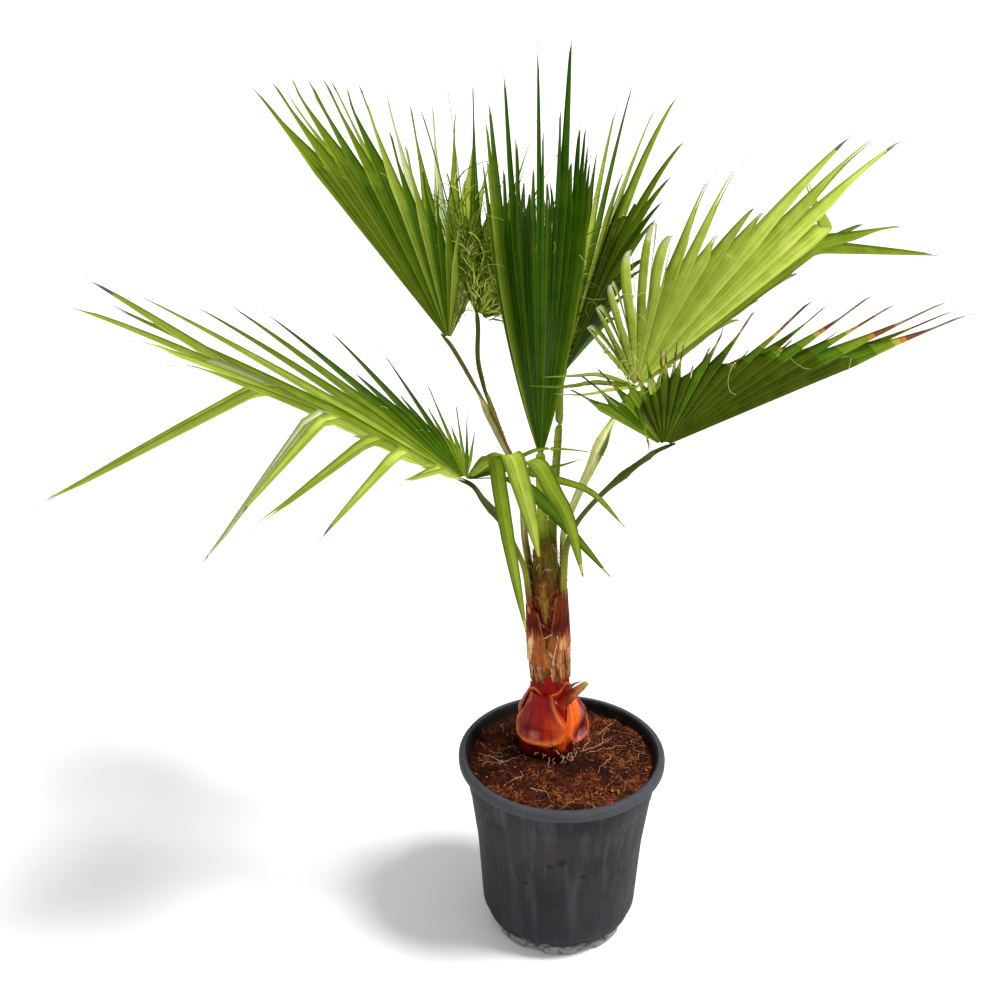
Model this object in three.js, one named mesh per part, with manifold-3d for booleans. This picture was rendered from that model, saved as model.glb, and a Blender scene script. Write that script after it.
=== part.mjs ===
import * as THREE from "three";
import { mergeVertices } from "three/addons/utils/BufferGeometryUtils.js";
import Module from "manifold-3d";

// A young fan palm in a round nursery pot. Millimetres and degrees, Z up.
// The origin is the middle of the pot's flat underside. Azimuths run from +X towards +Y.

// Driving sizes
const CLEAR = 0.3; // gap between pieces that touch
const SECTORS = 48; // sides of the pot and of the soil
const SEATING_PASSES = 5;
const FRAYED = 5; // sets the scatter of the droop apart from that of the lengths

const POT = {
  height: 312,
  rimRadius: 159,
  lipHeight: 18,
  lipWidth: 14,
  lipRound: 4, // radius of the lip's edges
  lipOverhang: 10,
  roundSteps: 2,
  bandHeight: 44,
  bandStep: 1.5,
  wall: 3,
  floor: 5,
  ledge: 3, // height that a step in the wall takes
  draft: 1, // how far the foot and the ring widen upwards
  bandTaper: 7,
  kneeRadius: 130,
  kneeHeight: 160,
  shoulderRadius: 122,
  shoulderHeight: 40,
  ringRadius: 116,
  ringHeight: 21,
  footRadius: 109,
  footEdge: 3, // height of the bevel round the underside
  undersideRadius: 102,
  floorRadius: 98,
  notches: 8,
  notch: { width: 34, depth: 5, height: 12 },
};

const SOIL = {
  level: 295,
  rings: 5,
  // height of each heap above the level, its azimuth, its distance from the pot's axis and its width
  heaps: [
    [14, 128, 132, 26],
    [5, 20, 118, 24],
    [4, -70, 125, 30],
    [-5, -140, 128, 26],
  ],
  flatAroundTrunk: 92,
  easesOver: 40,
  skirt: 12, // depth of the upright edge below the level
  edge: 1, // how far the face lies in from the upright edge
};

const TRUNK = {
  foot: [-16, 40],
  lean: [-15, -9], // how far the tip stands off the foot
  height: 358,
  sides: 20,
  // height above the foot and radius
  profile: [
    [0, 43],
    [18, 48],
    [40, 49],
    [62, 45],
    [84, 36],
    [102, 30],
    [125, 29],
    [160, 30],
    [195, 28],
    [230, 25],
    [270, 22.5],
    [310, 20.5],
    [345, 17],
    [358, 12],
  ],
  flare: 0.06,
  flareLobes: 5,
  flareHeight: 60,
};

// Bases of old leaves, wrapped round the trunk: azimuth, half angle, height range, thickness and
// lift at the tip
const OLD_BASES = {
  old_base_front: { azimuth: 250, half: 48, from: 0, to: 108, thick: 7, lift: 3 },
  old_base_right: { azimuth: 338, half: 36, from: 0, to: 92, thick: 7, lift: 3 },
  old_base_back: { azimuth: 110, half: 58, from: 0, to: 112, thick: 7, lift: 3 },
  papery_base_left: { azimuth: 212, half: 36, from: 128, to: 222, thick: 2.5, lift: 3 },
  papery_base_right: { azimuth: 312, half: 42, from: 132, to: 236, thick: 2.5, lift: 4 },
  papery_base_back: { azimuth: 75, half: 52, from: 126, to: 215, thick: 2.5, lift: 3 },
};

const SCALE = {
  columns: 7,
  rows: 6,
  narrows: 0.72, // share of its width that a scale loses towards its tip
  rim: 0.35, // thickness of its two edges as a share of its middle
  ends: 0.55, // thickness of its top and bottom as a share of its middle
};

const CUT_STUB = {
  azimuth: -45,
  height: 92,
  tip: [40, -5, 450],
  width: [26, 15],
  thick: [9, 5],
  footDepth: 12,
  elbow: { rise: 18, off: 8 },
  steps: 5,
};

const PETIOLE = {
  sides: 8,
  steps: 10,
  width: [17, 13, 8], // at its foot, at the blade and at its end under the blade
  thick: [11, 8.5, 5],
  underBlade: 46, // how far it runs on under the blade
  footLength: 25, // how far its foot reaches down the trunk
  footDepth: 9,
  farOff: 12, // distance from the blade at which seating it begins
};

const BLADE = {
  hub: 13, // distance of the blade's inner edge from the point where the leaflets meet
  thick: [3, 6, 6], // at the inner edge, halfway over the joined part and at its end
  freeThick: 4,
  tipThick: 2.2,
  tipWidth: 3,
  joined: 0.55, // share of a leaflet that is joined to its neighbours
  waist: 0.55, // width of a leaflet halfway along its free part
  halfway: 0.45, // place of the middle row of points on the joined part
  tipFrom: 0.55, // share of the free part at which a leaflet's tip begins
  bendWidth: 0.9, // width at a bend as a share of the joined width
  bendShare: 0.04, // share of the length between a bend and the row after it
  sagFrom: 0.35,
  sagRate: 6,
  lengthScatter: 0.05,
  sagScatter: 0.4,
  steps: 14,
};

// The fronds. meets: where the leaflets meet; keel: azimuth and elevation of the middle leaflet;
// roll: turn of the blade about the keel; fold: how far each half folds up; span: the angle from the
// keel to each margin; reach: leaflet lengths from margin to margin; sag: droop of each half;
// gather: how far leaflets bend back along the keel; foot: azimuth and height of the petiole on the
// trunk; through: points on the petiole; bent: leaflet number, where it is bent, the azimuth and
// elevation it takes from there, and a stretch of the bent part; broken: share of a leaflet's length
// that is left
const FRONDS = {
  upper_left: {
    meets: [-169, 135, 927],
    keel: [140, 38],
    roll: 20,
    fold: [55, 35],
    span: [75, 60],
    leaflets: 26,
    reach: [200, 290, 400, 518, 505, 455, 330],
    sag: [0.1, 0.1],
    seed: 1,
    foot: [150, 290],
    through: [
      [-58, 47, 655],
      [-66, 62, 743],
      [-94, 76, 800],
      [-122, 104, 848],
    ],
  },
  centre: {
    meets: [-37, 40, 780],
    keel: [-98, 84],
    roll: 5,
    fold: [55, 55],
    span: [32, 38],
    leaflets: 24,
    reach: [380, 470, 585, 560, 545, 490, 420],
    sag: [0, 0],
    gather: 1.4,
    seed: 2,
    foot: [90, 352],
    through: [[-34, 34, 710]],
    broken: { 5: 0.85, 7: 0.86, 8: 0.84, 9: 0.82, 10: 0.83, 11: 0.88, 14: 0.86, 15: 0.82, 16: 0.88 },
  },
  back_left: {
    meets: [-127, 114, 967],
    keel: [100, 57],
    roll: -5,
    fold: [30, 12],
    span: [20, 88],
    leaflets: 20,
    reach: [270, 310, 345, 355, 320, 230, 120],
    sag: [0.15, 0.3],
    seed: 3,
    foot: [108, 300],
    through: [
      [-42, 66, 664],
      [-74, 100, 740],
      [-104, 124, 820],
      [-126, 126, 895],
    ],
    broken: { 0: 0.75, 1: 0.7, 2: 0.65, 3: 0.6, 5: 0.7, 6: 0.65, 7: 0.6, 9: 0.7, 11: 0.7 },
  },
  back_right: {
    meets: [0, 210, 850],
    keel: [56, 55],
    roll: 8,
    fold: [62, 58],
    span: [40, 74],
    leaflets: 26,
    reach: [230, 320, 425, 470, 400, 320, 220],
    sag: [0.3, 0.45],
    seed: 4,
    foot: [64, 296],
    through: [
      [-18, 58, 660],
      [-13, 95, 735],
      [-7, 145, 800],
    ],
    broken: { 7: 0.8, 8: 0.8, 11: 0.75, 13: 0.8, 15: 0.62, 16: 0.62, 17: 0.7 },
  },
  right: {
    meets: [101, 100, 870],
    keel: [25, 31],
    roll: -30,
    fold: [-5, 35],
    span: [75, 104],
    leaflets: 30,
    reach: [190, 270, 390, 590, 420, 325, 185],
    sag: [0.2, 0.2],
    seed: 5,
    foot: [17, 292],
    through: [
      [-3, 40, 665],
      [14, 46, 716],
      [35, 55, 762],
      [64, 80, 818],
    ],
    bent: { 14: [0.62, 14, 6, 0.72], 13: [0.62, 12, -6, 1.1], 15: [0.61, 170, 62, 0.38] },
    broken: { 19: 0.68, 20: 0.74, 21: 0.62, 24: 0.78 },
  },
  low_right: {
    meets: [123, -70, 847],
    keel: [3, 24],
    roll: -10,
    fold: [48, 50],
    span: [125, 98],
    leaflets: 30,
    reach: [170, 150, 170, 435, 280, 215, 170],
    sag: [0.1, 0.1],
    seed: 6,
    foot: [-30, 268],
    through: [
      [0, 10, 655],
      [12, 0, 699],
      [43, -16, 750],
      [74, -32, 788],
      [102, -45, 818],
    ],
    bent: { 29: [0.58, -80, -75, 1] },
    broken: { 3: 0.75, 4: 0.62, 8: 0.65, 11: 0.75, 13: 0.76, 19: 0.74, 21: 0.68, 24: 0.68, 27: 0.62 },
  },
  low_left: {
    meets: [-141, -50, 788],
    keel: [178, 26.5],
    roll: 0,
    fold: [22, 12],
    span: [75, 90],
    leaflets: 30,
    reach: [330, 420, 500, 560, 380, 215, 140],
    sag: [0.12, 0.05],
    seed: 7,
    foot: [205, 240],
    through: [
      [-58, 16, 617],
      [-74, 0, 666],
      [-95, -15, 713],
      [-119, -35, 753],
    ],
    bent: {
      14: [0.58, 176, 34, 1],
      12: [0.72, 178, 20, 0.1],
      11: [0.58, -161, -19, 1.45],
      7: [0.58, -166, -47, 1.4],
      6: [0.58, -163, -44, 0.85],
      4: [0.58, -170, -35, 1.15],
      2: [0.6, -173, -46, 1],
      0: [0.58, -165, -12, 0.35],
    },
    broken: { 1: 0.62, 3: 0.62, 5: 0.62, 9: 0.62, 20: 0.65, 22: 0.62, 24: 0.65, 26: 0.62 },
  },
};

// Basal leaflets of the low left frond that arch forward and hang down in front of the trunk:
// widest part of each and the points that it runs through from the start that they share
const SKIRT = {
  frond: FRONDS.low_left,
  behind: 4,
  startWidth: 7,
  waist: 0.7,
  across: [0.7, 0.1, 0.7],
  thick: [3, 4, 4, 3, 2.2],
  steps: 9,
  sides: 6,
  leaflets: [
    { width: 17, through: [[-103, -112, 848], [-96, -122, 770], [-58, -115, 584]] },
    { width: 24, through: [[-81, -118, 854], [-53, -132, 787], [-42, -128, 707]] },
    { width: 16, through: [[-39, -105, 834], [-5, -118, 766], [20, -112, 673]] },
    { width: 10, through: [[-63, -85, 817], [11, -78, 796], [77, -74, 729]] },
    { width: 10, through: [[-58, -92, 797], [3, -98, 742], [57, -92, 663]] },
  ],
};

const POT_GREY = 0x3a3d45;
const SOIL_BROWN = 0x3a1c12;
const TRUNK_BROWN = 0x7a3a1c;
const BASE_RED = 0xa33a16;
const PAPERY_TAN = 0xb98a55;
const LEAF_GREEN = 0x5c8a1f;
const DARK_GREEN = 0x2c5a12;
const PETIOLE_GREEN = 0x7f8a35;

const UP = new THREE.Vector3(0, 0, 1);
const wasm = await Module();
wasm.setup();

function vector([x, y, z]) {
  return new THREE.Vector3(x, y, z);
}

// Unit vector of an azimuth and an elevation.
function direction([azimuth, elevation]) {
  const a = THREE.MathUtils.degToRad(azimuth);
  const e = THREE.MathUtils.degToRad(elevation);
  return new THREE.Vector3(Math.cos(e) * Math.cos(a), Math.cos(e) * Math.sin(a), Math.sin(e));
}

// Repeatable scatter between -1 and 1.
function scatter(seed, i) {
  const x = Math.sin(seed * 127.1 + i * 311.7) * 43758.5453;
  return (x - Math.floor(x)) * 2 - 1;
}

// Value at x on a list of [place, value] pairs.
function along(pairs, x) {
  const last = pairs.length - 1;
  let k = 0;
  while (k < last - 1 && x > pairs[k + 1][0]) k += 1;
  const [x0, y0] = pairs[k];
  const [x1, y1] = pairs[k + 1];
  return THREE.MathUtils.lerp(y0, y1, THREE.MathUtils.clamp((x - x0) / (x1 - x0), 0, 1));
}

// Value at a share of 0 to 1 on a list of evenly spaced values.
function spread(values, share) {
  const pairs = values.map((value, k) => [k / (values.length - 1), value]);
  return along(pairs, share);
}

function geometryOf(points, triangles) {
  const geometry = new THREE.BufferGeometry();
  const flat = points.flatMap((p) => [p.x, p.y, p.z]);
  geometry.setAttribute("position", new THREE.Float32BufferAttribute(flat, 3));
  geometry.setIndex(triangles);
  return geometry;
}

// A closed body through rings of points, each ring anticlockwise as seen from the last one.
function loft(rings) {
  const sides = rings[0].length;
  const points = rings.flat();
  const triangles = [];
  for (let r = 0; r + 1 < rings.length; r += 1) {
    for (let i = 0; i < sides; i += 1) {
      const j = (i + 1) % sides;
      const a = r * sides + i;
      const b = r * sides + j;
      triangles.push(a, b, b + sides, a, b + sides, a + sides);
    }
  }
  for (const [ring, first] of [[0, true], [rings.length - 1, false]]) {
    const centre = new THREE.Vector3();
    rings[ring].forEach((p) => centre.addScaledVector(p, 1 / sides));
    points.push(centre);
    for (let i = 0; i < sides; i += 1) {
      const a = ring * sides + i;
      const b = ring * sides + ((i + 1) % sides);
      triangles.push(points.length - 1, first ? b : a, first ? a : b);
    }
  }
  return geometryOf(points, triangles);
}

// A closed shell between two grids of points with the same rows and columns.
function shell(outer, inner) {
  const rows = outer.length;
  const columns = outer[0].length;
  const points = [...outer.flat(), ...inner.flat()];
  const under = rows * columns;
  const triangles = [];
  const quad = (a, b, c, d) => triangles.push(a, b, c, a, c, d);
  const at = (r, c) => r * columns + c;
  for (let r = 0; r + 1 < rows; r += 1) {
    for (let c = 0; c + 1 < columns; c += 1) {
      quad(at(r, c), at(r, c + 1), at(r + 1, c + 1), at(r + 1, c));
      quad(under + at(r, c), under + at(r + 1, c), under + at(r + 1, c + 1), under + at(r, c + 1));
    }
    quad(at(r, 0), at(r + 1, 0), under + at(r + 1, 0), under + at(r, 0));
    const c = columns - 1;
    quad(at(r + 1, c), at(r, c), under + at(r, c), under + at(r + 1, c));
  }
  for (let c = 0; c + 1 < columns; c += 1) {
    quad(at(0, c + 1), at(0, c), under + at(0, c), under + at(0, c + 1));
    const r = rows - 1;
    quad(at(r, c), at(r, c + 1), under + at(r, c + 1), under + at(r, c));
  }
  return geometryOf(points, triangles);
}

function solidOf(geometry) {
  const bare = geometry.clone();
  bare.deleteAttribute("normal");
  bare.deleteAttribute("uv");
  const merged = mergeVertices(bare, 1e-3);
  const vertProperties = new Float32Array(merged.attributes.position.array);
  const triVerts = new Uint32Array(merged.index.array);
  return new wasm.Manifold(new wasm.Mesh({ numProp: 3, vertProperties, triVerts }));
}

function geometryFrom(solid) {
  const { vertProperties, triVerts } = solid.getMesh();
  const geometry = new THREE.BufferGeometry();
  geometry.setAttribute("position", new THREE.BufferAttribute(vertProperties, 3));
  geometry.setIndex(new THREE.BufferAttribute(triVerts, 1));
  return geometry;
}

// Pot

// Radius of the pot's outer wall at a height between its shoulder and the band under the rim.
function wallRadius(z) {
  const band = POT.height - POT.lipHeight - POT.bandHeight;
  return along(
    [
      [POT.shoulderHeight, POT.shoulderRadius],
      [POT.kneeHeight, POT.kneeRadius],
      [band, POT.rimRadius - POT.lipOverhang - POT.bandTaper],
      [POT.height - POT.lipHeight, POT.rimRadius - POT.lipOverhang],
    ],
    z,
  );
}

function innerRadius(z) {
  return wallRadius(z) - POT.bandStep - POT.wall;
}

// Rounded corner of a profile, its centre at a radius and a height, from one angle to another.
function corner(radius, z, from, to) {
  const points = [];
  for (let k = 0; k <= POT.roundSteps; k += 1) {
    const angle = THREE.MathUtils.degToRad(THREE.MathUtils.lerp(from, to, k / POT.roundSteps));
    points.push([radius + POT.lipRound * Math.cos(angle), z + POT.lipRound * Math.sin(angle)]);
  }
  return points;
}

function potGeometry() {
  const lipFoot = POT.height - POT.lipHeight;
  const band = lipFoot - POT.bandHeight;
  const outerLip = POT.rimRadius - POT.lipRound;
  const innerLip = POT.rimRadius - POT.lipWidth + POT.lipRound;
  const profile = [
    [0, 0],
    [POT.undersideRadius, 0],
    [POT.footRadius, POT.footEdge],
    [POT.footRadius + POT.draft, POT.ringHeight],
    [POT.ringRadius, POT.ringHeight + POT.ledge],
    [POT.ringRadius + POT.draft, POT.shoulderHeight - 2 * POT.ledge],
    [POT.shoulderRadius, POT.shoulderHeight],
    [POT.kneeRadius, POT.kneeHeight],
    [wallRadius(band) - POT.bandStep / 2, band],
    [wallRadius(band) + POT.bandStep / 2, band + POT.ledge],
    [wallRadius(lipFoot), lipFoot],
    ...corner(outerLip, lipFoot + POT.lipRound, -90, 0),
    ...corner(outerLip, POT.height - POT.lipRound, 0, 90),
    ...corner(innerLip, POT.height - POT.lipRound, 90, 180),
    [innerRadius(lipFoot), lipFoot],
    [innerRadius(POT.kneeHeight), POT.kneeHeight],
    [innerRadius(POT.shoulderHeight), POT.shoulderHeight],
    [POT.floorRadius, POT.floor],
    [0, POT.floor],
  ];
  const outline = profile.map(([radius, z]) => new THREE.Vector2(radius, z));
  const round = new THREE.LatheGeometry(outline, SECTORS);
  round.rotateX(Math.PI / 2);
  let pot = solidOf(round);
  for (let k = 0; k < POT.notches; k += 1) {
    const { width, depth, height } = POT.notch;
    const notch = new THREE.BoxGeometry(2 * depth, width, 2 * height);
    notch.translate(POT.footRadius + POT.draft, 0, 0);
    notch.rotateZ(((k + 0.5) / POT.notches) * 2 * Math.PI);
    pot = pot.subtract(solidOf(notch));
  }
  return geometryFrom(pot);
}

// Soil

// Height of the soil's face at a distance from the pot's axis and an azimuth.
function soilHeight(x, y) {
  const fromTrunk = Math.hypot(x - TRUNK.foot[0], y - TRUNK.foot[1]);
  const flatTo = SOIL.flatAroundTrunk;
  const free = THREE.MathUtils.smoothstep(fromTrunk, flatTo, flatTo + SOIL.easesOver);
  let height = 0;
  for (const [rise, azimuth, distance, width] of SOIL.heaps) {
    const middle = direction([azimuth, 0]).multiplyScalar(distance);
    const away = Math.hypot(x - middle.x, y - middle.y) / width;
    height += rise * Math.exp(-away * away);
  }
  return SOIL.level - CLEAR + free * height;
}

function soilGeometry() {
  const edge = (z) => innerRadius(z) - 2 * CLEAR;
  const floorRadius = POT.floorRadius - 2 * CLEAR;
  const around = (radius, height) => {
    const ring = [];
    for (let i = 0; i < SECTORS; i += 1) {
      const angle = (i / SECTORS) * 2 * Math.PI;
      const x = radius * Math.sin(angle);
      const y = -radius * Math.cos(angle);
      ring.push(new THREE.Vector3(x, y, height ?? soilHeight(x, y)));
    }
    return ring;
  };
  const rings = [
    around(floorRadius, POT.floor + CLEAR),
    around(edge(POT.shoulderHeight), POT.shoulderHeight),
    around(edge(POT.kneeHeight), POT.kneeHeight),
    around(edge(SOIL.level - SOIL.skirt), SOIL.level - SOIL.skirt),
  ];
  for (let k = SOIL.rings; k > 0; k -= 1) {
    rings.push(around((edge(SOIL.level) - SOIL.edge) * (k / SOIL.rings)));
  }
  return loft(rings);
}

// Trunk and what is wrapped round it

function trunkAxis(height) {
  const share = height / TRUNK.height;
  const [x, y] = TRUNK.foot;
  const bow = share * share;
  return new THREE.Vector3(x + TRUNK.lean[0] * bow, y + TRUNK.lean[1] * share, SOIL.level + height);
}

function trunkRadius(height, azimuth) {
  const turn = THREE.MathUtils.degToRad(azimuth) * TRUNK.flareLobes;
  const lobe = 1 + TRUNK.flare * Math.cos(turn) * Math.exp(-height / TRUNK.flareHeight);
  return along(TRUNK.profile, height) * lobe;
}

function trunkPoint(height, azimuth, off) {
  const out = direction([azimuth, 0]);
  return trunkAxis(height).addScaledVector(out, trunkRadius(height, azimuth) + off);
}

function trunkGeometry(grown) {
  const facet = 1 / Math.cos(Math.PI / TRUNK.sides) - 1;
  const rings = TRUNK.profile.map(([height, radius]) => {
    const off = grown ? grown + radius * facet : 0;
    const top = height === TRUNK.height ? grown : 0;
    const ring = [];
    for (let i = 0; i < TRUNK.sides; i += 1) {
      ring.push(trunkPoint(height, (i / TRUNK.sides) * 360, off).addScaledVector(UP, top));
    }
    return ring;
  });
  return loft(rings);
}

// A curved scale wrapped round the trunk, clear of it by at least away.
function oldBaseGeometry({ azimuth, half, from, to, thick, lift }, away) {
  const { columns, rows, narrows, rim, ends } = SCALE;
  const facet = 1 / Math.cos(THREE.MathUtils.degToRad(half / (columns - 1))) - 1;
  const outer = [];
  const inner = [];
  for (let r = 0; r < rows; r += 1) {
    const v = r / (rows - 1);
    const height = THREE.MathUtils.lerp(from, to, v);
    const lengthwise = THREE.MathUtils.lerp(ends, 1, Math.sin(Math.PI * v));
    outer.push([]);
    inner.push([]);
    for (let c = 0; c < columns; c += 1) {
      const u = (c / (columns - 1)) * 2 - 1;
      const turn = azimuth + half * (1 - narrows * v * v) * u;
      const off = away + along(TRUNK.profile, height) * facet + lift * v * v;
      const body = thick * THREE.MathUtils.lerp(rim, 1, Math.sqrt(1 - u * u)) * lengthwise;
      inner[r].push(trunkPoint(height, turn, off));
      outer[r].push(trunkPoint(height, turn, off + body));
    }
  }
  return shell(outer, inner);
}

// Flattened tapering limb along a curve. across is the direction that its width takes.
function limb(curve, steps, sides, across, widths, thicks) {
  const rings = [];
  for (let k = 0; k <= steps; k += 1) {
    const share = k / steps;
    const middle = curve.getPointAt(share);
    const tangent = curve.getTangentAt(share);
    const side = across(share).addScaledVector(tangent, -across(share).dot(tangent)).normalize();
    const up = new THREE.Vector3().crossVectors(tangent, side);
    const ring = [];
    for (let i = 0; i < sides; i += 1) {
      const angle = (i / sides) * 2 * Math.PI;
      ring.push(
        middle
          .clone()
          .addScaledVector(side, (Math.cos(angle) * spread(widths, share)) / 2)
          .addScaledVector(up, (Math.sin(angle) * spread(thicks, share)) / 2),
      );
    }
    rings.push(ring);
  }
  return loft(rings);
}

function clearOfTrunk(geometry) {
  return geometryFrom(solidOf(geometry).subtract(solidOf(trunkGeometry(CLEAR))));
}

function cutStubGeometry() {
  const { azimuth, height, tip, width, thick, footDepth, elbow, steps } = CUT_STUB;
  const start = trunkPoint(height, azimuth, -footDepth);
  const middle = trunkPoint(height + elbow.rise, azimuth, elbow.off);
  const curve = new THREE.CatmullRomCurve3([start, middle, vector(tip)]);
  const across = () => direction([azimuth + 90, 0]);
  return clearOfTrunk(limb(curve, steps, PETIOLE.sides, across, width, thick));
}

// Fronds

// Keel, upper normal and sideways axis of a blade.
function bladeFrame(frond) {
  const keel = direction(frond.keel);
  const level = UP.clone().addScaledVector(keel, -keel.z).normalize();
  const flank = new THREE.Vector3().crossVectors(keel, level);
  const roll = THREE.MathUtils.degToRad(frond.roll);
  const normal = level.multiplyScalar(Math.cos(roll)).addScaledVector(flank, Math.sin(roll));
  const side = new THREE.Vector3().crossVectors(keel, normal);
  return { keel, normal, side };
}

// Direction in which the blade runs out from its hub, for t from -1 at one margin to 1 at the other.
function ribDirection(frond, t) {
  const { keel, normal, side } = bladeFrame(frond);
  const half = t < 0 ? 0 : 1;
  const angle = THREE.MathUtils.degToRad(frond.span[half] * Math.abs(t));
  const fold = THREE.MathUtils.degToRad(frond.fold[half]);
  const out = side.multiplyScalar(Math.sign(t) * Math.cos(fold)).addScaledVector(normal, Math.sin(fold));
  return keel.multiplyScalar(Math.cos(angle)).addScaledVector(out, Math.sin(angle));
}

// Points from the meeting point to the end of a leaflet or of the fold between two leaflets.
function ribLine(frond, t, length, sagScale, bend) {
  const { keel } = bladeFrame(frond);
  const heading = ribDirection(frond, t);
  const sag = frond.sag[t < 0 ? 0 : 1] * sagScale;
  const point = vector(frond.meets);
  const points = [point.clone()];
  const step = length / BLADE.steps;
  for (let k = 0; k < BLADE.steps; k += 1) {
    const share = (k + 0.5) / BLADE.steps;
    if (bend && share >= bend[0]) {
      heading.copy(direction([bend[1], bend[2]]));
      point.addScaledVector(heading, step * bend[3]);
    } else {
      heading.addScaledVector(UP, (-sag * Math.max(0, share - BLADE.sagFrom) * BLADE.sagRate) / BLADE.steps);
      heading.addScaledVector(keel, (frond.gather ?? 0) / BLADE.steps).normalize();
      point.addScaledVector(heading, step);
    }
    points.push(point.clone());
  }
  return points;
}

function pointOn(line, share) {
  const x = THREE.MathUtils.clamp(share, 0, 1) * (line.length - 1);
  const k = Math.min(Math.floor(x), line.length - 2);
  return line[k].clone().lerp(line[k + 1], x - k);
}

// Length of the leaflets at t.
function reachAt(frond, t) {
  return spread(frond.reach, (t + 1) / 2);
}

// Upper normal of the blade at t, even across the fold.
function bladeNormal(frond, t) {
  const delta = 1.5 / frond.leaflets;
  const before = ribDirection(frond, Math.max(-1, t - delta));
  const after = ribDirection(frond, Math.min(1, t + delta));
  return new THREE.Vector3().crossVectors(before, after).normalize().negate();
}

// A thin blade: joined leaflets out to a notched edge, and a tapering free tip on each.
function bladeGeometry(frond) {
  const count = frond.leaflets;
  const shares = [0, BLADE.halfway, 1];
  const points = [];
  const triangles = [];
  const pair = (point, normal, thick) => {
    points.push(point.clone().addScaledVector(normal, thick / 2));
    points.push(point.clone().addScaledVector(normal, -thick / 2));
    return points.length - 2;
  };
  const face = (a, b, c, d) => {
    triangles.push(a, b, c, a, c, d, a + 1, c + 1, b + 1, a + 1, d + 1, c + 1);
  };
  const wall = (a, b) => triangles.push(a, a + 1, b + 1, a, b + 1, b);
  const ribs = [];
  for (let j = 0; j <= count; j += 1) {
    const t = (j / count) * 2 - 1;
    const length = reachAt(frond, t);
    const line = ribLine(frond, t, length, 1);
    const normal = bladeNormal(frond, t);
    const hub = BLADE.hub / length;
    ribs.push(
      shares.map((share, row) => {
        const place = row === 0 ? hub : share * BLADE.joined;
        return pair(pointOn(line, place), normal, BLADE.thick[row]);
      }),
    );
  }
  for (let i = 0; i < count; i += 1) {
    const t = ((i + 0.5) / count) * 2 - 1;
    const bend = frond.bent?.[i];
    const left = frond.broken?.[i] ?? 1;
    const length = left * reachAt(frond, t) * (1 + BLADE.lengthScatter * scatter(frond.seed, i));
    const sagScale = 1 + BLADE.sagScatter * scatter(frond.seed + FRAYED, i);
    const line = ribLine(frond, t, length, sagScale, bend);
    const [near, far] = [ribs[i], ribs[i + 1]];
    for (let row = 0; row < 2; row += 1) {
      face(near[row], far[row], far[row + 1], near[row + 1]);
    }
    wall(near[0], far[0]);
    let a = near[2];
    let b = far[2];
    const width = points[a].distanceTo(points[b]);
    const freeFrom = bend ? bend[0] + BLADE.bendShare : (BLADE.joined * reachAt(frond, t)) / length;
    const tip = THREE.MathUtils.lerp(freeFrom, 1, BLADE.tipFrom);
    const rows = bend ? [freeFrom, tip, 1] : [tip, 1];
    rows.forEach((place, row) => {
      const last = row === rows.length - 1;
      const middle = pointOn(line, place);
      const heading = middle.clone().sub(pointOn(line, place - 2 * BLADE.bendShare)).normalize();
      const side = points[b].clone().sub(points[a]);
      side.addScaledVector(heading, -side.dot(heading)).normalize();
      const normal = new THREE.Vector3().crossVectors(heading, side).normalize();
      const wide = last ? BLADE.tipWidth : width * (bend && row === 0 ? BLADE.bendWidth : BLADE.waist);
      const thick = last ? BLADE.tipThick : BLADE.freeThick;
      const c = pair(middle.clone().addScaledVector(side, wide / 2), normal.clone().negate(), thick);
      const d = pair(middle.clone().addScaledVector(side, -wide / 2), normal.clone().negate(), thick);
      face(a, b, c, d);
      wall(b, c);
      wall(d, a);
      a = d;
      b = c;
    });
    wall(b, a);
  }
  wall(ribs[0][1], ribs[0][0]);
  wall(ribs[0][2], ribs[0][1]);
  wall(ribs[count][0], ribs[count][1]);
  wall(ribs[count][1], ribs[count][2]);
  return geometryOf(points, triangles);
}

// The petiole, ending under the blade along its keel, the blade's underside being drop above its axis.
function petioleGeometry(frond, drop) {
  const { keel, normal, side } = bladeFrame(frond);
  const [azimuth, height] = frond.foot;
  const meets = vector(frond.meets);
  const slimmer = (PETIOLE.thick[1] - PETIOLE.thick[2]) / 2;
  const curve = new THREE.CatmullRomCurve3(
    [
      trunkPoint(height - PETIOLE.footLength, azimuth, -PETIOLE.footDepth),
      trunkPoint(height + PETIOLE.footLength / 2, azimuth, PETIOLE.footDepth / 2),
      ...frond.through.map(vector),
      meets.clone().addScaledVector(keel, -BLADE.hub).addScaledVector(normal, -drop),
      meets.clone().addScaledVector(keel, PETIOLE.underBlade).addScaledVector(normal, slimmer - drop),
    ],
    false,
    "centripetal",
  );
  const round = direction([azimuth + 90, 0]);
  const across = (share) => round.clone().lerp(side, share * share);
  return clearOfTrunk(limb(curve, PETIOLE.steps, PETIOLE.sides, across, PETIOLE.width, PETIOLE.thick));
}

// Falling leaflets at the base of a blade, joined where they start, lift above the point where it meets.
function skirtGeometry({ frond, leaflets, thick }, lift) {
  const { keel, normal } = bladeFrame(frond);
  const start = vector(frond.meets).addScaledVector(keel, -SKIRT.behind).addScaledVector(normal, lift);
  const across = () => vector(SKIRT.across);
  let joined;
  for (const { width, through } of leaflets) {
    const curve = new THREE.CatmullRomCurve3([start, ...through.map(vector)], false, "centripetal");
    const widths = [SKIRT.startWidth, width, width, width * SKIRT.waist, BLADE.tipWidth];
    const leaflet = solidOf(limb(curve, SKIRT.steps, SKIRT.sides, across, widths, thick));
    joined = joined ? joined.add(leaflet) : leaflet;
  }
  return geometryFrom(joined);
}

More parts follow.
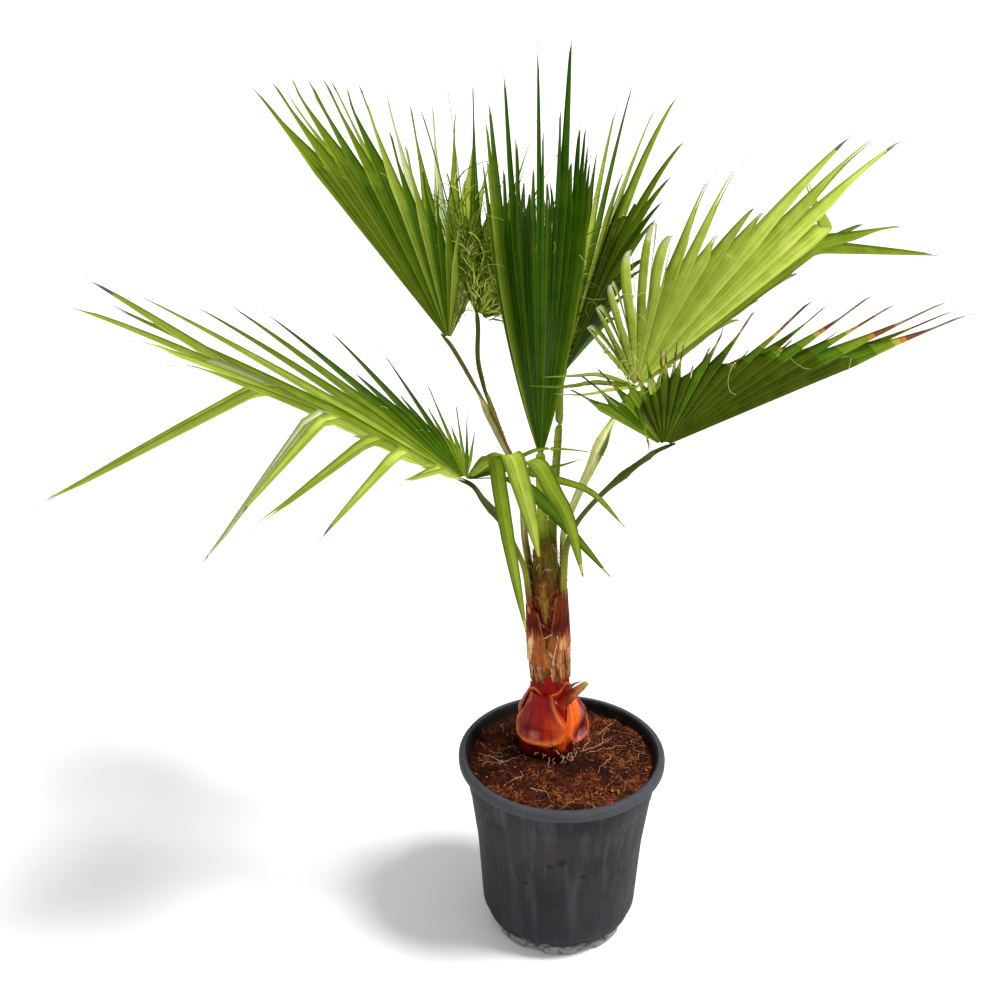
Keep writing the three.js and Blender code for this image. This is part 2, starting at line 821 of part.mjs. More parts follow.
// Draws a piece nearer to its seat until the two are a little over the named gap apart.
function seated(make, seat, far) {
  const target = solidOf(seat);
  let away = far;
  for (let pass = 0; pass < SEATING_PASSES; pass += 1) {
    const gap = solidOf(make(away)).minGap(target, far);
    away += CLEAR * 1.1 - gap;
  }
  return make(away);
}

// Scene graph

function piece(name, geometry, color, roughness) {
  const flat = geometry.index ? geometry.toNonIndexed() : geometry;
  flat.computeVertexNormals();
  const mesh = new THREE.Mesh(flat, new THREE.MeshStandardMaterial({ color, roughness, metalness: 0 }));
  mesh.name = name;
  return mesh;
}

const palm = new THREE.Group();
palm.add(piece("pot", potGeometry(), POT_GREY, 0.7));
palm.add(piece("soil", soilGeometry(), SOIL_BROWN, 0.95));
const trunk = trunkGeometry(0);
palm.add(piece("trunk", trunk, TRUNK_BROWN, 0.75));
for (const [name, base] of Object.entries(OLD_BASES)) {
  const scale = seated((away) => oldBaseGeometry(base, away), trunk, base.thick);
  palm.add(piece(name, scale, name.startsWith("old") ? BASE_RED : PAPERY_TAN, 0.6));
}
palm.add(piece("cut_leaf_stub", cutStubGeometry(), PAPERY_TAN, 0.7));
const petioles = {};
for (const [name, frond] of Object.entries(FRONDS)) {
  const blade = bladeGeometry(frond);
  petioles[name] = seated((drop) => petioleGeometry(frond, drop), blade, PETIOLE.farOff);
  palm.add(piece(`petiole_${name}`, petioles[name], PETIOLE_GREEN, 0.5));
  const colour = name === "centre" || name === "low_right" ? DARK_GREEN : LEAF_GREEN;
  palm.add(piece(`frond_${name}`, blade, colour, 0.5));
}
const skirt = seated((lift) => skirtGeometry(SKIRT, lift), petioles.low_left, PETIOLE.farOff);
palm.add(piece("frond_low_left_skirt", skirt, LEAF_GREEN, 0.5));

export default palm;
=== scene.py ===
import math

import bpy
import numpy as np
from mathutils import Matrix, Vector, noise


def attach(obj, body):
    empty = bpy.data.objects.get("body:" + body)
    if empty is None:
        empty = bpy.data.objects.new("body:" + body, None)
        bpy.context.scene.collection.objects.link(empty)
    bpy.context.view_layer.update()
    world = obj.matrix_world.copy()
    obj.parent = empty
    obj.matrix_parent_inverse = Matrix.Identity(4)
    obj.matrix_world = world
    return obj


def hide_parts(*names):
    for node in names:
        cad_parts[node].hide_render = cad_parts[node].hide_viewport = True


# A young fan palm in a round nursery pot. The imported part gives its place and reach. Here its fronds
# get finer pleated leaflets, its trunk and petioles their relief, and the soil and the pot their surface.
# Sizes are millimetres, as in the part's source, and become metres where a mesh is made. Azimuths run
# from +X towards +Y, in degrees.

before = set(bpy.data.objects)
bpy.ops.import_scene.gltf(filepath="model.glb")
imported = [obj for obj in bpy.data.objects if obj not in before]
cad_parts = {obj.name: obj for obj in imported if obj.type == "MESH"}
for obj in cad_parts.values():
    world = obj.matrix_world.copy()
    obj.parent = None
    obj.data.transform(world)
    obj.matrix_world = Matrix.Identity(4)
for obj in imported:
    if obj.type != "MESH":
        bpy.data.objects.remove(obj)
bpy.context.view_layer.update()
MM = 0.001
UP = np.array([0.0, 0.0, 1.0])

POT = {
    "height": 312,
    "rim": 159,
    "lip_height": 18,
    "lip_width": 14,
    "lip_round": 6,
    "lip_overhang": 10,
    "band_height": 44,
    "band_step": 1.5,
    "wall": 3,
    "band_taper": 7,
    "knee": (130, 160),
    "shoulder": (122, 40),
    "ring": (116, 21),
    "foot": 109,
    "underside": 102,
    "sectors": 288,
    "notches": 8,
    "notch_width": 34,
    "notch_depth": 5,
    "notch_height": 12,
    "flutes": 36,
    "flute_depth": 0.45,
    "unevenness": 0.35,
    "inside_rows": 8,
}

SOIL = {
    "level": 295,
    "rings": 84,
    "sectors": 240,
    "heaps": [(14, 128, 132, 26), (5, 20, 118, 24), (4, -70, 125, 30), (-5, -140, 128, 26)],
    "flat_around_trunk": 92,
    "eases_over": 40,
    "lumps": 3.2,
    "crumbs": 1.4,
    "chips": 1300,
    "fibres": 3200,
    "roots": 60,
    "clear_of_trunk": 50,
    "clear_of_wall": 4,
    "pink_every": 61,
    "green_every": 97,
}

TRUNK = {
    "foot": (-16, 40),
    "lean": (-15, -9),
    "height": 358,
    "profile": [
        (0, 43), (18, 48), (40, 49), (62, 45), (84, 36), (102, 30), (125, 29), (160, 30),
        (195, 28), (230, 25), (270, 22.5), (310, 20.5), (345, 17), (358, 12),
    ],
    "flare": 0.06,
    "flare_lobes": 5,
    "flare_height": 60,
    "columns": 180,
    "rows": 240,
}

PAPERY_BASES = {
    "papery_base_left": {"azimuth": 212, "half": 36, "range": (128, 222), "lift": 3},
    "papery_base_right": {"azimuth": 312, "half": 42, "range": (132, 236), "lift": 4},
    "papery_base_back": {"azimuth": 75, "half": 52, "range": (126, 215), "lift": 3},
}

# The cut stub: where it leaves the trunk, its tip, its width and thickness from foot to tip, and the
# direction across its broad face
CUT_STUB = {
    "azimuth": -62,
    "height": 92,
    "tip": (36, -8, 438),
    "width": (24, 22, 17, 8),
    "thick": (9, 6, 4),
    "across": (-0.62, -0.2, 0.75),
    "elbow": (14, 9),
    "rows": 34,
    "sides": 18,
}

PETIOLE = {
    "sides": 16,
    "steps": 60,
    "width": (17, 13, 11),
    "thick": (11, 9.5, 7),
    "past_hub": 16,
    "foot_length": 25,
    "foot_depth": 9,
    "drop": 2.5,
    "groove": 0.34,
    "tooth_every": 11,
    "tooth": 2.6,
    "toothed": (0.2, 0.82),
}

# The leaf bases that wrap the trunk under each petiole, from low to high
WRAP = {
    "below": 78,
    "above": 24,
    "half_turn": 74,
    "narrows": 0.55,
    "thick": 5,
    "margin": 0.8,
    "oldest": 240,
    "newest": 352,
    "columns": 33,
    "rows": 33,
}

BLADE = {
    "hub": 9,
    "sag_from": 0.35,
    "sag_rate": 6,
    "length_scatter": 0.05,
    "sag_scatter": 0.4,
    "joined_scatter": 0.1,
    "steps": 42,
    "joined_rows": 12,
    "free_rows": 20,
    "pleat": 0.55,
    "slim": 2.8,
    "closes": 0.35,
    "split_from": 0.78,
    "split_apart": 4,
    "torn": 0.3,
    "edge_from": 0.36,
    "twist": 22,
    "finger_joined": (0.5, 0.06),
}

# The fronds, as in the part's source. A pair of values is for the two halves of a blade, and angles are
# in degrees. foot is the azimuth and height at which a petiole leaves the trunk, through are points on
# its way, meets is where it meets the blade, and stalk is how broad it is. joined is the share of their
# length over which leaflets are joined, and taper the power of their taper past it, down to the least
# half width, slim. The numbers in bent, broken and blunt are leaflets. A bent one has the share of its
# length at the bend, its azimuth and elevation past it and a scale for its length there. A broken one has
# the share that is left. torn is the share of leaflets split in two, from torn_from on, and scorched the
# share with burnt ends. halves names the kinds of paint, and edges those of the leaflets past edge_from.
# fingers is the first of the narrow pale leaflets at a blade's foot.
# A half blade turned from the light gets a darker kind of paint in halves, and one that faces it a lighter
# kind: painted shade and painted light.
FRONDS = {
    "upper_left": {
        "meets": (-169, 135, 927),
        "keel": (140, 38),
        "roll": 20,
        "fold": (55, 35),
        "span": (75, 60),
        "leaflets": 26,
        "reach": (200, 290, 400, 518, 505, 455, 330),
        "sag": (0.1, 0.1),
        "seed": 1,
        "foot": (150, 290),
        "through": [(-58, 47, 655), (-66, 62, 743), (-94, 76, 800), (-122, 104, 848)],
        "halves": ("dark", "green"),
        "edges": ("green", "sunny"),
        "joined": (0.64, 0.54),
        "taper": (1.5, 1.5),
        "slim": 4,
    },
    "centre": {
        "meets": (-37, 40, 780),
        "keel": (-98, 84),
        "roll": 5,
        "fold": (55, 55),
        "span": (32, 38),
        "leaflets": 24,
        "reach": (380, 470, 585, 560, 545, 490, 420),
        "sag": (0, 0),
        "gather": 1.4,
        "seed": 2,
        "foot": (90, 352),
        "through": [(-34, 34, 710)],
        "broken": {
            5: 0.82, 6: 0.68, 8: 0.84, 9: 0.68, 10: 0.7, 11: 0.84, 13: 0.8, 14: 0.68, 15: 0.7, 16: 0.86,
            18: 0.68, 19: 0.84,
        },
        "torn": 0,
        "halves": ("deep", "deep"),
        "edges": ("dark", "green"),
        "edge_from": 0.72,
        "joined": (0.64, 0.62),
        "taper": (0.5, 0.5),
        "stalk": 1.25,
    },
    "back_left": {
        "meets": (-127, 114, 967),
        "keel": (100, 57),
        "roll": -5,
        "fold": (30, 12),
        "span": (20, 88),
        "leaflets": 20,
        "reach": (270, 310, 345, 355, 320, 230, 120),
        "sag": (0.15, 0.3),
        "seed": 3,
        "foot": (108, 300),
        "through": [(-42, 66, 664), (-74, 100, 740), (-104, 124, 820), (-126, 126, 895)],
        "broken": {0: 0.75, 1: 0.7, 2: 0.65, 3: 0.6, 5: 0.7, 6: 0.65, 7: 0.6, 9: 0.7, 11: 0.7},
        "blunt": (3, 6, 7, 9),
        "halves": ("dark", "green"),
        "joined": (0.3, 0.35),
        "taper": (1.2, 1.3),
        "torn": 0.8,
        "torn_from": 0.25,
        "stalk": 0.6,
    },
    "back_right": {
        "meets": (0, 210, 850),
        "keel": (56, 55),
        "roll": 8,
        "fold": (62, 58),
        "span": (40, 74),
        "leaflets": 26,
        "reach": (230, 320, 425, 470, 400, 320, 220),
        "sag": (0.3, 0.45),
        "seed": 4,
        "foot": (64, 296),
        "through": [(-18, 58, 660), (-13, 95, 735), (-7, 145, 800)],
        "broken": {7: 0.8, 8: 0.8, 11: 0.75, 13: 0.8, 15: 0.62, 16: 0.62, 17: 0.7},
        "blunt": (16, 17),
        "halves": ("green", "dark"),
        "joined": (0.55, 0.55),
        "taper": (0.7, 0.7),
    },
    "right": {
        "meets": (101, 100, 870),
        "keel": (25, 31),
        "roll": -30,
        "fold": (-5, 35),
        "span": (75, 104),
        "leaflets": 30,
        "reach": (190, 270, 390, 590, 420, 325, 185),
        "sag": (0.2, 0.2),
        "seed": 5,
        "foot": (17, 292),
        "through": [(-3, 40, 665), (14, 46, 716), (35, 55, 762), (64, 80, 818)],
        "bent": {14: (0.62, 14, 6, 0.72), 13: (0.62, 12, -6, 1.1), 15: (0.61, 170, 62, 0.38)},
        "broken": {19: 0.68, 20: 0.74, 21: 0.62, 24: 0.78},
        "halves": ("dull", "yellow"),
        "joined": (0.58, 0.52),
        "taper": (0.7, 0.7),
        "torn": 0.6,
        "torn_from": 0.4,
        "fingers": 24,
        "stalk": 1.6,
        "pale_groove": True,
    },
    "low_right": {
        "meets": (123, -70, 847),
        "keel": (3, 24),
        "roll": -10,
        "fold": (48, 50),
        "span": (125, 98),
        "leaflets": 30,
        "reach": (170, 150, 170, 435, 280, 215, 170),
        "sag": (0.1, 0.1),
        "seed": 6,
        "foot": (-30, 268),
        "through": [(0, 10, 655), (12, 0, 699), (43, -16, 750), (74, -32, 788), (102, -45, 818)],
        "bent": {29: (0.58, -40, -68, 1)},
        "broken": {3: 0.75, 4: 0.62, 8: 0.65, 11: 0.75, 13: 0.76, 19: 0.74, 21: 0.68, 24: 0.68, 27: 0.62},
        "scorched": 0.95,
        "halves": ("green", "olive"),
        "joined": (0.58, 0.62),
        "taper": (1.9, 1.8),
        "slim": 3.4,
    },
    "low_left": {
        "meets": (-141, -50, 788),
        "keel": (178, 26.5),
        "roll": 0,
        "fold": (22, 12),
        "span": (75, 90),
        "leaflets": 30,
        "reach": (330, 420, 500, 560, 380, 215, 140),
        "sag": (0.12, 0.05),
        "seed": 7,
        "foot": (205, 240),
        "through": [(-58, 16, 617), (-74, 0, 666), (-95, -15, 713), (-119, -35, 753)],
        "bent": {
            14: (0.58, 176, 34, 1),
            12: (0.72, 178, 20, 0.1),
            11: (0.56, -162, -23, 1.45),
            7: (0.58, -168, -51, 1.4),
            6: (0.58, -163, -44, 0.85),
            4: (0.58, -170, -35, 1.15),
            2: (0.6, -173, -46, 1),
            0: (0.58, -165, -12, 0.35),
        },
        "broken": {1: 0.62, 3: 0.62, 5: 0.62, 9: 0.62, 20: 0.65, 22: 0.62, 24: 0.65, 26: 0.62},
        "halves": ("fresh", "fresh"),
        "edges": ("pale", "dark"),
        "edge_from": 0.15,
        "joined": (0.42, 0.36),
        "taper": (0.45, 0.75),
        "bent_widen": 0.7,
    },
}

# Basal leaflets of the low left frond that arch forward and hang down: widest part, points and paint.
# Their last rows are yellow, then brown.
SKIRT = {
    "start": (-137, -50, 791),
    "shares": (0.35, 0.8, 1, 1, 0.98, 0.92, 0.84, 0.72, 0.56, 0.32, 0.06),
    "rows": 44,
    "yellow_rows": 2,
    "brown_rows": 1,
    "fold": 0.2,
    "leaflets": [
        (22, [(-103, -100, 843), (-95, -118, 805), (-84, -122, 734), (-58, -115, 584)], "leaf_mid"),
        (32, [(-81, -110, 850), (-69, -125, 823), (-56, -130, 775), (-42, -127, 706)], "leaf_bright"),
        (27, [(-50, -105, 838), (-26, -122, 807), (-5, -122, 764), (18, -112, 673)], "leaf_mid"),
        (15, [(-63, -95, 823), (-22, -95, 810), (25, -90, 790), (76, -76, 730)], "leaf_mid"),
        (19, [(-80, -88, 806), (-55, -96, 795), (-20, -98, 758), (57, -92, 662)], "leaf_dark"),
        (8, [(-71, -88, 838), (-45, -93, 852), (-3, -93, 852), (38, -88, 844)], "leaf_mid"),
        (7, [(-75, -86, 822), (-50, -92, 826), (-20, -92, 828), (16, -88, 838)], "leaf_dark"),
    ],
}

# Basal leaflets of the right frond that reach left across the centre frond: widest part, points, paint
REACHING_SHARES = (0.6, 1, 1, 0.8, 0.5, 0.1)
REACHING = [
    (8, [(101, 100, 870), (40, 62, 890), (-10, 28, 896), (-56, 16, 902)], "leaf_mid"),
    (7, [(101, 100, 870), (46, 66, 900), (4, 34, 910), (-36, 14, 915)], "leaf_bright"),
    (6, [(101, 100, 870), (60, 60, 880), (20, 30, 884), (-20, 16, 890)], "leaf_yellow"),
]

# Leaf paints dealt out to the leaflets of each kind of half blade.
# The kinds for halves in shade, such as dark, deep and olive, are painted shade, and sunny is painted light.
DEALT = {
    "deep": ["leaf_deep", "leaf_deep", "leaf_dark", "leaf_deep"],
    "olive": ["leaf_olive", "leaf_olive", "leaf_olive", "leaf_dark"],
    "dark": ["leaf_dark", "leaf_mid", "leaf_dark", "leaf_mid"],
    "green": ["leaf_mid", "leaf_bright", "leaf_mid", "leaf_dark"],
    "sunny": ["leaf_bright", "leaf_mid", "leaf_bright", "leaf_pale"],
    "yellow": ["leaf_yellow", "leaf_bright", "leaf_yellow", "leaf_bright"],
    "dull": ["leaf_dull", "leaf_mid", "leaf_dull", "leaf_dark"],
    "fresh": ["leaf_mid", "leaf_bright", "leaf_mid", "leaf_bright"],
    "pale": ["leaf_yellow", "leaf_pale", "leaf_bright", "leaf_pale"],
}

# Torn strands among the blades: frond, first and last leaflet, shares of their length, number, length
# and paint
TUFTS = [
    ("back_left", 6, 19, (0.05, 0.55), 260, 46, "strand"),
    ("back_left", 6, 19, (0.05, 0.55), 150, 50, "strand_dark"),
    ("back_left", 4, 14, (0.1, 0.5), 140, 60, "leaf_mid"),
    ("upper_left", 20, 25, (0.1, 0.45), 90, 34, "strand"),
    ("upper_left", 20, 25, (0.1, 0.45), 60, 34, "strand_dark"),
    ("back_right", 0, 9, (0.05, 0.45), 170, 46, "strand"),
    ("back_right", 0, 9, (0.05, 0.4), 90, 46, "leaf_mid"),
    ("right", 26, 29, (0.05, 0.7), 60, 26, "strand"),
]


# Small helpers


def direction(azimuth, elevation=0.0):
    a, e = math.radians(azimuth), math.radians(elevation)
    return np.array([math.cos(e) * math.cos(a), math.cos(e) * math.sin(a), math.sin(e)])


def scatter(seed, i):
    """Repeatable scatter between -1 and 1, as in the part's source."""
    x = math.sin(seed * 127.1 + i * 311.7) * 43758.5453
    return (x - math.floor(x)) * 2 - 1


def share_of(seed, i):
    return scatter(seed, i) * 0.5 + 0.5


def unit(vector):
    return vector / np.linalg.norm(vector)


def smooth_step(x, low, high):
    s = np.clip((x - low) / (high - low), 0, 1)
    return s * s * (3 - 2 * s)


def spread(values, share):
    """Value at a share of 0 to 1 on evenly spaced values."""
    return np.interp(share, np.linspace(0, 1, len(values)), values)


def rough(point, scale, octaves=3):
    """Layered noise of about -1 to 1 at a point, for lumps of about scale millimetres."""
    return noise.fractal(Vector(point) / scale, 1.0, 2.0, octaves)


def curve_through(points, count):
    """count points, evenly spaced along a centripetal Catmull-Rom curve."""
    p = [np.array(q, float) for q in points]
    p = [2 * p[0] - p[1], *p, 2 * p[-1] - p[-2]]
    fine = []
    for k in range(1, len(p) - 2):
        times = [0.0]
        for m in range(3):
            times.append(times[-1] + math.sqrt(np.linalg.norm(p[k + m] - p[k + m - 1])))
        for t in np.linspace(times[1], times[2], 24, endpoint=False):
            level = p[k - 1 : k + 3]
            for width in (1, 2, 3):
                low = [times[m] for m in range(4 - width)]
                high = [times[m + width] for m in range(4 - width)]
                if width == 3:
                    low, high = [times[1]], [times[2]]
                if width == 2:
                    low, high = [times[0], times[1]], [times[2], times[3]]
                level = [
                    (a * (h - t) + b * (t - lo)) / (h - lo)
                    for a, b, lo, h in zip(level, level[1:], low, high)
                ]
            fine.append(level[0])
    fine.append(p[-2])
    return resampled(np.array(fine), count)


def resampled(line, count):
    lengths = np.concatenate([[0], np.cumsum(np.linalg.norm(np.diff(line, axis=0), axis=1))])
    places = np.linspace(0, lengths[-1], count)
    return np.stack([np.interp(places, lengths, line[:, k]) for k in range(3)], 1)


def point_on(line, share):
    x = np.clip(share, 0, 1) * (len(line) - 1)
    return np.array([np.interp(x, np.arange(len(line)), line[:, k]) for k in range(3)])


def tangents_of(line, least=0.0):
    """Directions along a line. A least length lets points of the line coincide."""
    tangents = np.gradient(line, axis=0)
    return tangents / (np.linalg.norm(tangents, axis=1)[:, None] + least)


def carried_frames(line, side):
    """Tangent, side and normal at each point of a line, with the side carried along without twist."""
    tangents = tangents_of(line, 1e-9)
    sides = []
    for tangent in tangents:
        side = unit(side - tangent * (side @ tangent))
        sides.append(side)
    sides = np.array(sides)
    return tangents, sides, np.cross(tangents, sides)


WHITE = (1.0, 1.0, 1.0)
DARKEST = 0.002

# A slanting direction that no tube runs along, for the first side of its cross-section
ACROSS_ANY_LINE = (0.3, 0.5, 0.81)


class Shape:
    """Points, faces and a paint for each face, gathered for one object."""

    def __init__(self):
        self.points = []
        self.faces = []
        self.paints = []
        self.places = []
        self.tints = []

    def grid(self, rows, paint, places=None, closed=False, tints=None):
        """Faces over an array of rows and columns. paint is a name or gives one for a row and a column."""
        rows = np.asarray(rows, float)
        count, columns = rows.shape[:2]
        start = len(self.points)
        self.points += [tuple(p) for p in rows.reshape(-1, 3)]
        if places is None:
            across = max(columns - 1, 1)
            places = [(c / across, r / (count - 1)) for r in range(count) for c in range(columns)]
        if tints is None:
            tints = [WHITE] * len(places)
        self.places += places
        self.tints += [tuple(t) for t in np.reshape(tints, (-1, 3))]
        for r in range(count - 1):
            for c in range(columns if closed else columns - 1):
                a = start + r * columns + c
                b = start + r * columns + (c + 1) % columns
                self.faces.append((a, b, b + columns, a + columns))
                self.paints.append(paint if isinstance(paint, str) else paint(r, c))

    def face(self, corners, paint, tint=WHITE):
        start = len(self.points)
        self.points += [tuple(p) for p in corners]
        self.places += [(0.0, 0.0)] * len(corners)
        self.tints += [tuple(tint)] * len(corners)
        self.faces.append(tuple(range(start, start + len(corners))))
        self.paints.append(paint)

    def cap(self, ring, paint, flip=False, tint=WHITE):
        ring = list(ring)
        self.face(ring[::-1] if flip else ring, paint, tint)

    def tube(self, line, first_radius, last_radius, paint, sides=3):
        """A closed tube along a line."""
        line = np.asarray(line, float)
        start_side = np.cross(line[1] - line[0], ACROSS_ANY_LINE)
        _, side, normal = carried_frames(line, unit(start_side))
        radii = np.linspace(first_radius, last_radius, len(line))
        angles = np.linspace(0, 2 * math.pi, sides, endpoint=False)
        cosines, sines = np.cos(angles)[None, :, None], np.sin(angles)[None, :, None]
        ring = cosines * side[:, None] + sines * normal[:, None]
        rows = line[:, None] + ring * radii[:, None, None]
        self.grid(rows, paint, closed=True)
        self.cap(rows[0], paint, flip=True)
        self.cap(rows[-1], paint)

    def make(self, name, slot, replaces=(), smooth=True):
        """The object, in metres, riding on the one body of the part."""
        mesh = bpy.data.meshes.new(name)
        points = np.array(self.points) * MM
        mesh.from_pydata(points.tolist(), [], self.faces)
        names = sorted(set(self.paints))
        for paint in names:
            mesh.materials.append(PAINTS[paint])
        index = {paint: k for k, paint in enumerate(names)}
        mesh.polygons.foreach_set("material_index", [index[p] for p in self.paints])
        mesh.polygons.foreach_set("use_smooth", [smooth] * len(self.faces))
        layer = mesh.uv_layers.new(name="strip")
        corner_points = np.zeros(len(mesh.loops), int)
        mesh.loops.foreach_get("vertex_index", corner_points)
        layer.data.foreach_set("uv", np.array(self.places, float)[corner_points].ravel())
        if any(paint.startswith("skin") for paint in names):
            tints = mesh.color_attributes.new("tint", "FLOAT_COLOR", "POINT")
            colours = np.concatenate([np.array(self.tints, float), np.ones((len(self.tints), 1))], 1)
            tints.data.foreach_set("color", colours.ravel())
        mesh.update()
        thing = bpy.data.objects.new(name, mesh)
        bpy.context.scene.collection.objects.link(thing)
        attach(thing, "root")
        if replaces:
            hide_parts(*replaces)
        return thing


# Colours and paints


def screen(red, green, blue):
    """Linear colour of a screen colour given as 0 to 255."""
    channels = [v / 255 for v in (red, green, blue)]
    linear = [v / 12.92 if v <= 0.04045 else ((v + 0.055) / 1.055) ** 2.4 for v in channels]
    return (*linear, 1.0)


def tone(red, green, blue):
    """The same for a mesh's own colours."""
    return np.array(screen(red, green, blue)[:3])


def blend(first, second, share):
    return first + (second - first) * float(np.clip(share, 0, 1))


def layered(colour, *layers):
    """A colour with screen colours laid over it in turn, each by its share."""
    for over, share in layers:
        colour = blend(colour, tone(*over), share)
    return colour


class Paint:
    """A material with short ways to add and join its nodes."""

    def __init__(self, name, roughness, specular=0.25):
        self.material = bpy.data.materials.new(name)
        self.material.use_nodes = True
        self.tree = self.material.node_tree
        self.shader = self.tree.nodes["Principled BSDF"]
        self.shader.inputs["Roughness"].default_value = roughness
        self.shader.inputs["Specular IOR Level"].default_value = specular

    def node(self, kind, links=None, **values):
        node = self.tree.nodes.new(kind)
        for key, value in values.items():
            setattr(node, key, value)
        for key, value in (links or {}).items():
            if isinstance(value, bpy.types.NodeSocket):
                self.tree.links.new(value, node.inputs[key])
            else:
                node.inputs[key].default_value = value
        return node

    def object_place(self):
        return self.node("ShaderNodeTexCoord").outputs["Object"]

    def stretched(self, place, scale):
        return self.node("ShaderNodeMapping", {"Vector": place, "Scale": scale}).outputs["Vector"]

    def noise(self, place, scale, detail=4.0, roughness=0.55):
        values = {"Vector": place, "Scale": scale, "Detail": detail, "Roughness": roughness}
        return self.node("ShaderNodeTexNoise", values).outputs["Fac"]

    def between(self, value, low, high, to_low=0.0, to_high=1.0):
        values = {"Value": value, "From Min": low, "From Max": high, "To Min": to_low, "To Max": to_high}
        return self.node("ShaderNodeMapRange", values).outputs["Result"]

    def sum(self, operation, *values):
        return self.node("ShaderNodeMath", dict(enumerate(values)), operation=operation).outputs[0]

    def mix(self, share, first, second):
        return self.node("ShaderNodeMix", {0: share, 6: first, 7: second}, data_type="RGBA").outputs[2]

    def over(self, colour, value, low, high, share, other):
        """A colour under another, whose share grows from 0 as a value goes from low to high."""
        return self.mix(self.between(value, low, high, 0.0, share), colour, other)

    def ramp(self, value, stops):
        node = self.node("ShaderNodeValToRGB", {"Fac": value})
        ramp = node.color_ramp
        ramp.elements[0].position, ramp.elements[0].color = stops[0]
        ramp.elements[1].position, ramp.elements[1].color = stops[-1]
        for place, colour in stops[1:-1]:
            ramp.elements.new(place).color = colour
        return node.outputs["Color"]

    def colour(self, socket):
        self.tree.links.new(socket, self.shader.inputs["Base Color"])

    def roughness(self, socket):
        self.tree.links.new(socket, self.shader.inputs["Roughness"])

    def bump(self, height, strength, distance):
        values = {"Height": height, "Strength": strength, "Distance": distance}
        node = self.node("ShaderNodeBump", values)
        self.tree.links.new(node.outputs["Normal"], self.shader.inputs["Normal"])
        return node.outputs["Normal"]


def leaf_paint(name, base, light, glow, through, roughness=0.5):
    """Leaf tissue: a painted highlight along the rib, painted shade in the folds and on one flank, fine
    veins and light that shines through.
    """
    paint = Paint(name, roughness, 0.05)
    base, light, glow = screen(*base), screen(*light), screen(*glow)
    # dark is the colour of the painted shade on one flank and in the folds
    dark = (*(0.3 * c for c in base[:3]), 1.0)
    strip = paint.node("ShaderNodeUVMap", uv_map="strip").outputs["UV"]
    place = paint.node("ShaderNodeSeparateXYZ", {0: strip}).outputs["X"]
    across = paint.sum("ABSOLUTE", place)
    veins = paint.node(
        "ShaderNodeTexWave",
        {"Vector": paint.stretched(strip, (1.2, 0.0, 0.0)), "Scale": 1.0, "Distortion": 0.0},
        bands_direction="X",
    ).outputs["Fac"]
    streaks = paint.noise(paint.stretched(strip, (5.0, 1.2, 1.0)), 3.0, 3.0)
    blotches = paint.noise(paint.object_place(), 38.0, 3.0)
    pale = paint.sum("ADD", paint.sum("MULTIPLY", streaks, 0.5), paint.sum("MULTIPLY", blotches, 0.5))
    colour = paint.mix(paint.between(pale, 0.4, 0.64), base, light)
    # Painted shade on one flank: the negative side of each leaflet's strip darkens towards dark
    colour = paint.over(colour, place, 0.1, -0.1, 0.5, dark)
    colour = paint.mix(paint.sum("MULTIPLY", veins, 0.45), colour, light)
    # Painted highlight: a lighter line along each leaflet's rib
    colour = paint.over(colour, across, 0.24, 0.06, 0.6, light)
    # Painted shade in the folds: each leaflet darkens towards its fold edge
    colour = paint.over(colour, across, 0.56, 0.92, 0.8, dark)
    paint.colour(colour)
    normal = paint.bump(veins, 0.1, 0.0006)
    shine = paint.mix(0.2, colour, glow)
    through_leaf = paint.node("ShaderNodeBsdfTranslucent", {"Color": shine, "Normal": normal})
    shaders = {0: through, 1: paint.shader.outputs["BSDF"], 2: through_leaf.outputs["BSDF"]}
    both = paint.node("ShaderNodeMixShader", shaders)
    surface = paint.tree.nodes["Material Output"].inputs["Surface"]
    paint.tree.links.new(both.outputs["Shader"], surface)
    return paint.material


def skin_paint(name, roughness, streak, contrast, coat=0.0):
    """Tissue in the mesh's own colours, with streaks along the plant."""
    paint = Paint(name, roughness, 0.1)
    paint.shader.inputs["Coat Weight"].default_value = coat
    paint.shader.inputs["Coat Roughness"].default_value = 0.25
    tint = paint.node("ShaderNodeAttribute", attribute_name="tint").outputs["Color"]
    place = paint.object_place()
    streaks = paint.noise(paint.stretched(place, streak), 5.0, 5.0, 0.65)
    blotches = paint.noise(place, 90.0, 4.0)
    both = paint.sum("ADD", paint.sum("MULTIPLY", streaks, 0.7), paint.sum("MULTIPLY", blotches, 0.3))
    shade = paint.between(both, 0.36, 0.64, 1 - contrast, 1 + contrast)
    toned = paint.node("ShaderNodeVectorMath", {0: tint, "Scale": shade}, operation="SCALE")
    paint.colour(toned.outputs["Vector"])
    paint.bump(streaks, 0.4 * contrast, 0.0015)
    return paint.material


def soil_paint():
    paint = Paint("soil_peat", 0.95, 0.12)
    place = paint.object_place()
    patches = paint.noise(place, 26.0, 6.0, 0.65)
    grains = paint.noise(place, 360.0, 4.0, 0.7)
    colour = paint.ramp(
        patches,
        [
            (0.34, screen(20, 6, 3)),
            (0.46, screen(52, 20, 10)),
            (0.56, screen(92, 38, 18)),
            (0.68, screen(150, 74, 32)),
        ],
    )
    dark = paint.between(grains, 0.4, 0.56)
    paint.colour(paint.mix(dark, screen(20, 7, 4), colour))
    paint.bump(grains, 0.8, 0.004)
    return paint.material


def plain_paint(name, base, light, scale, roughness):
    """Matt paint whose colour wanders between two near tints."""
    paint = Paint(name, roughness, 0.15)
    patches = paint.noise(paint.object_place(), scale, 3.0)
    paint.colour(paint.mix(paint.between(patches, 0.35, 0.65), screen(*base), screen(*light)))
    return paint.material


# Dark spots on the pot's front: place across, height and radius
SPOTS = [(-3, 205, 9), (-20, 196, 6), (30, 172, 6), (-56, 152, 5)]


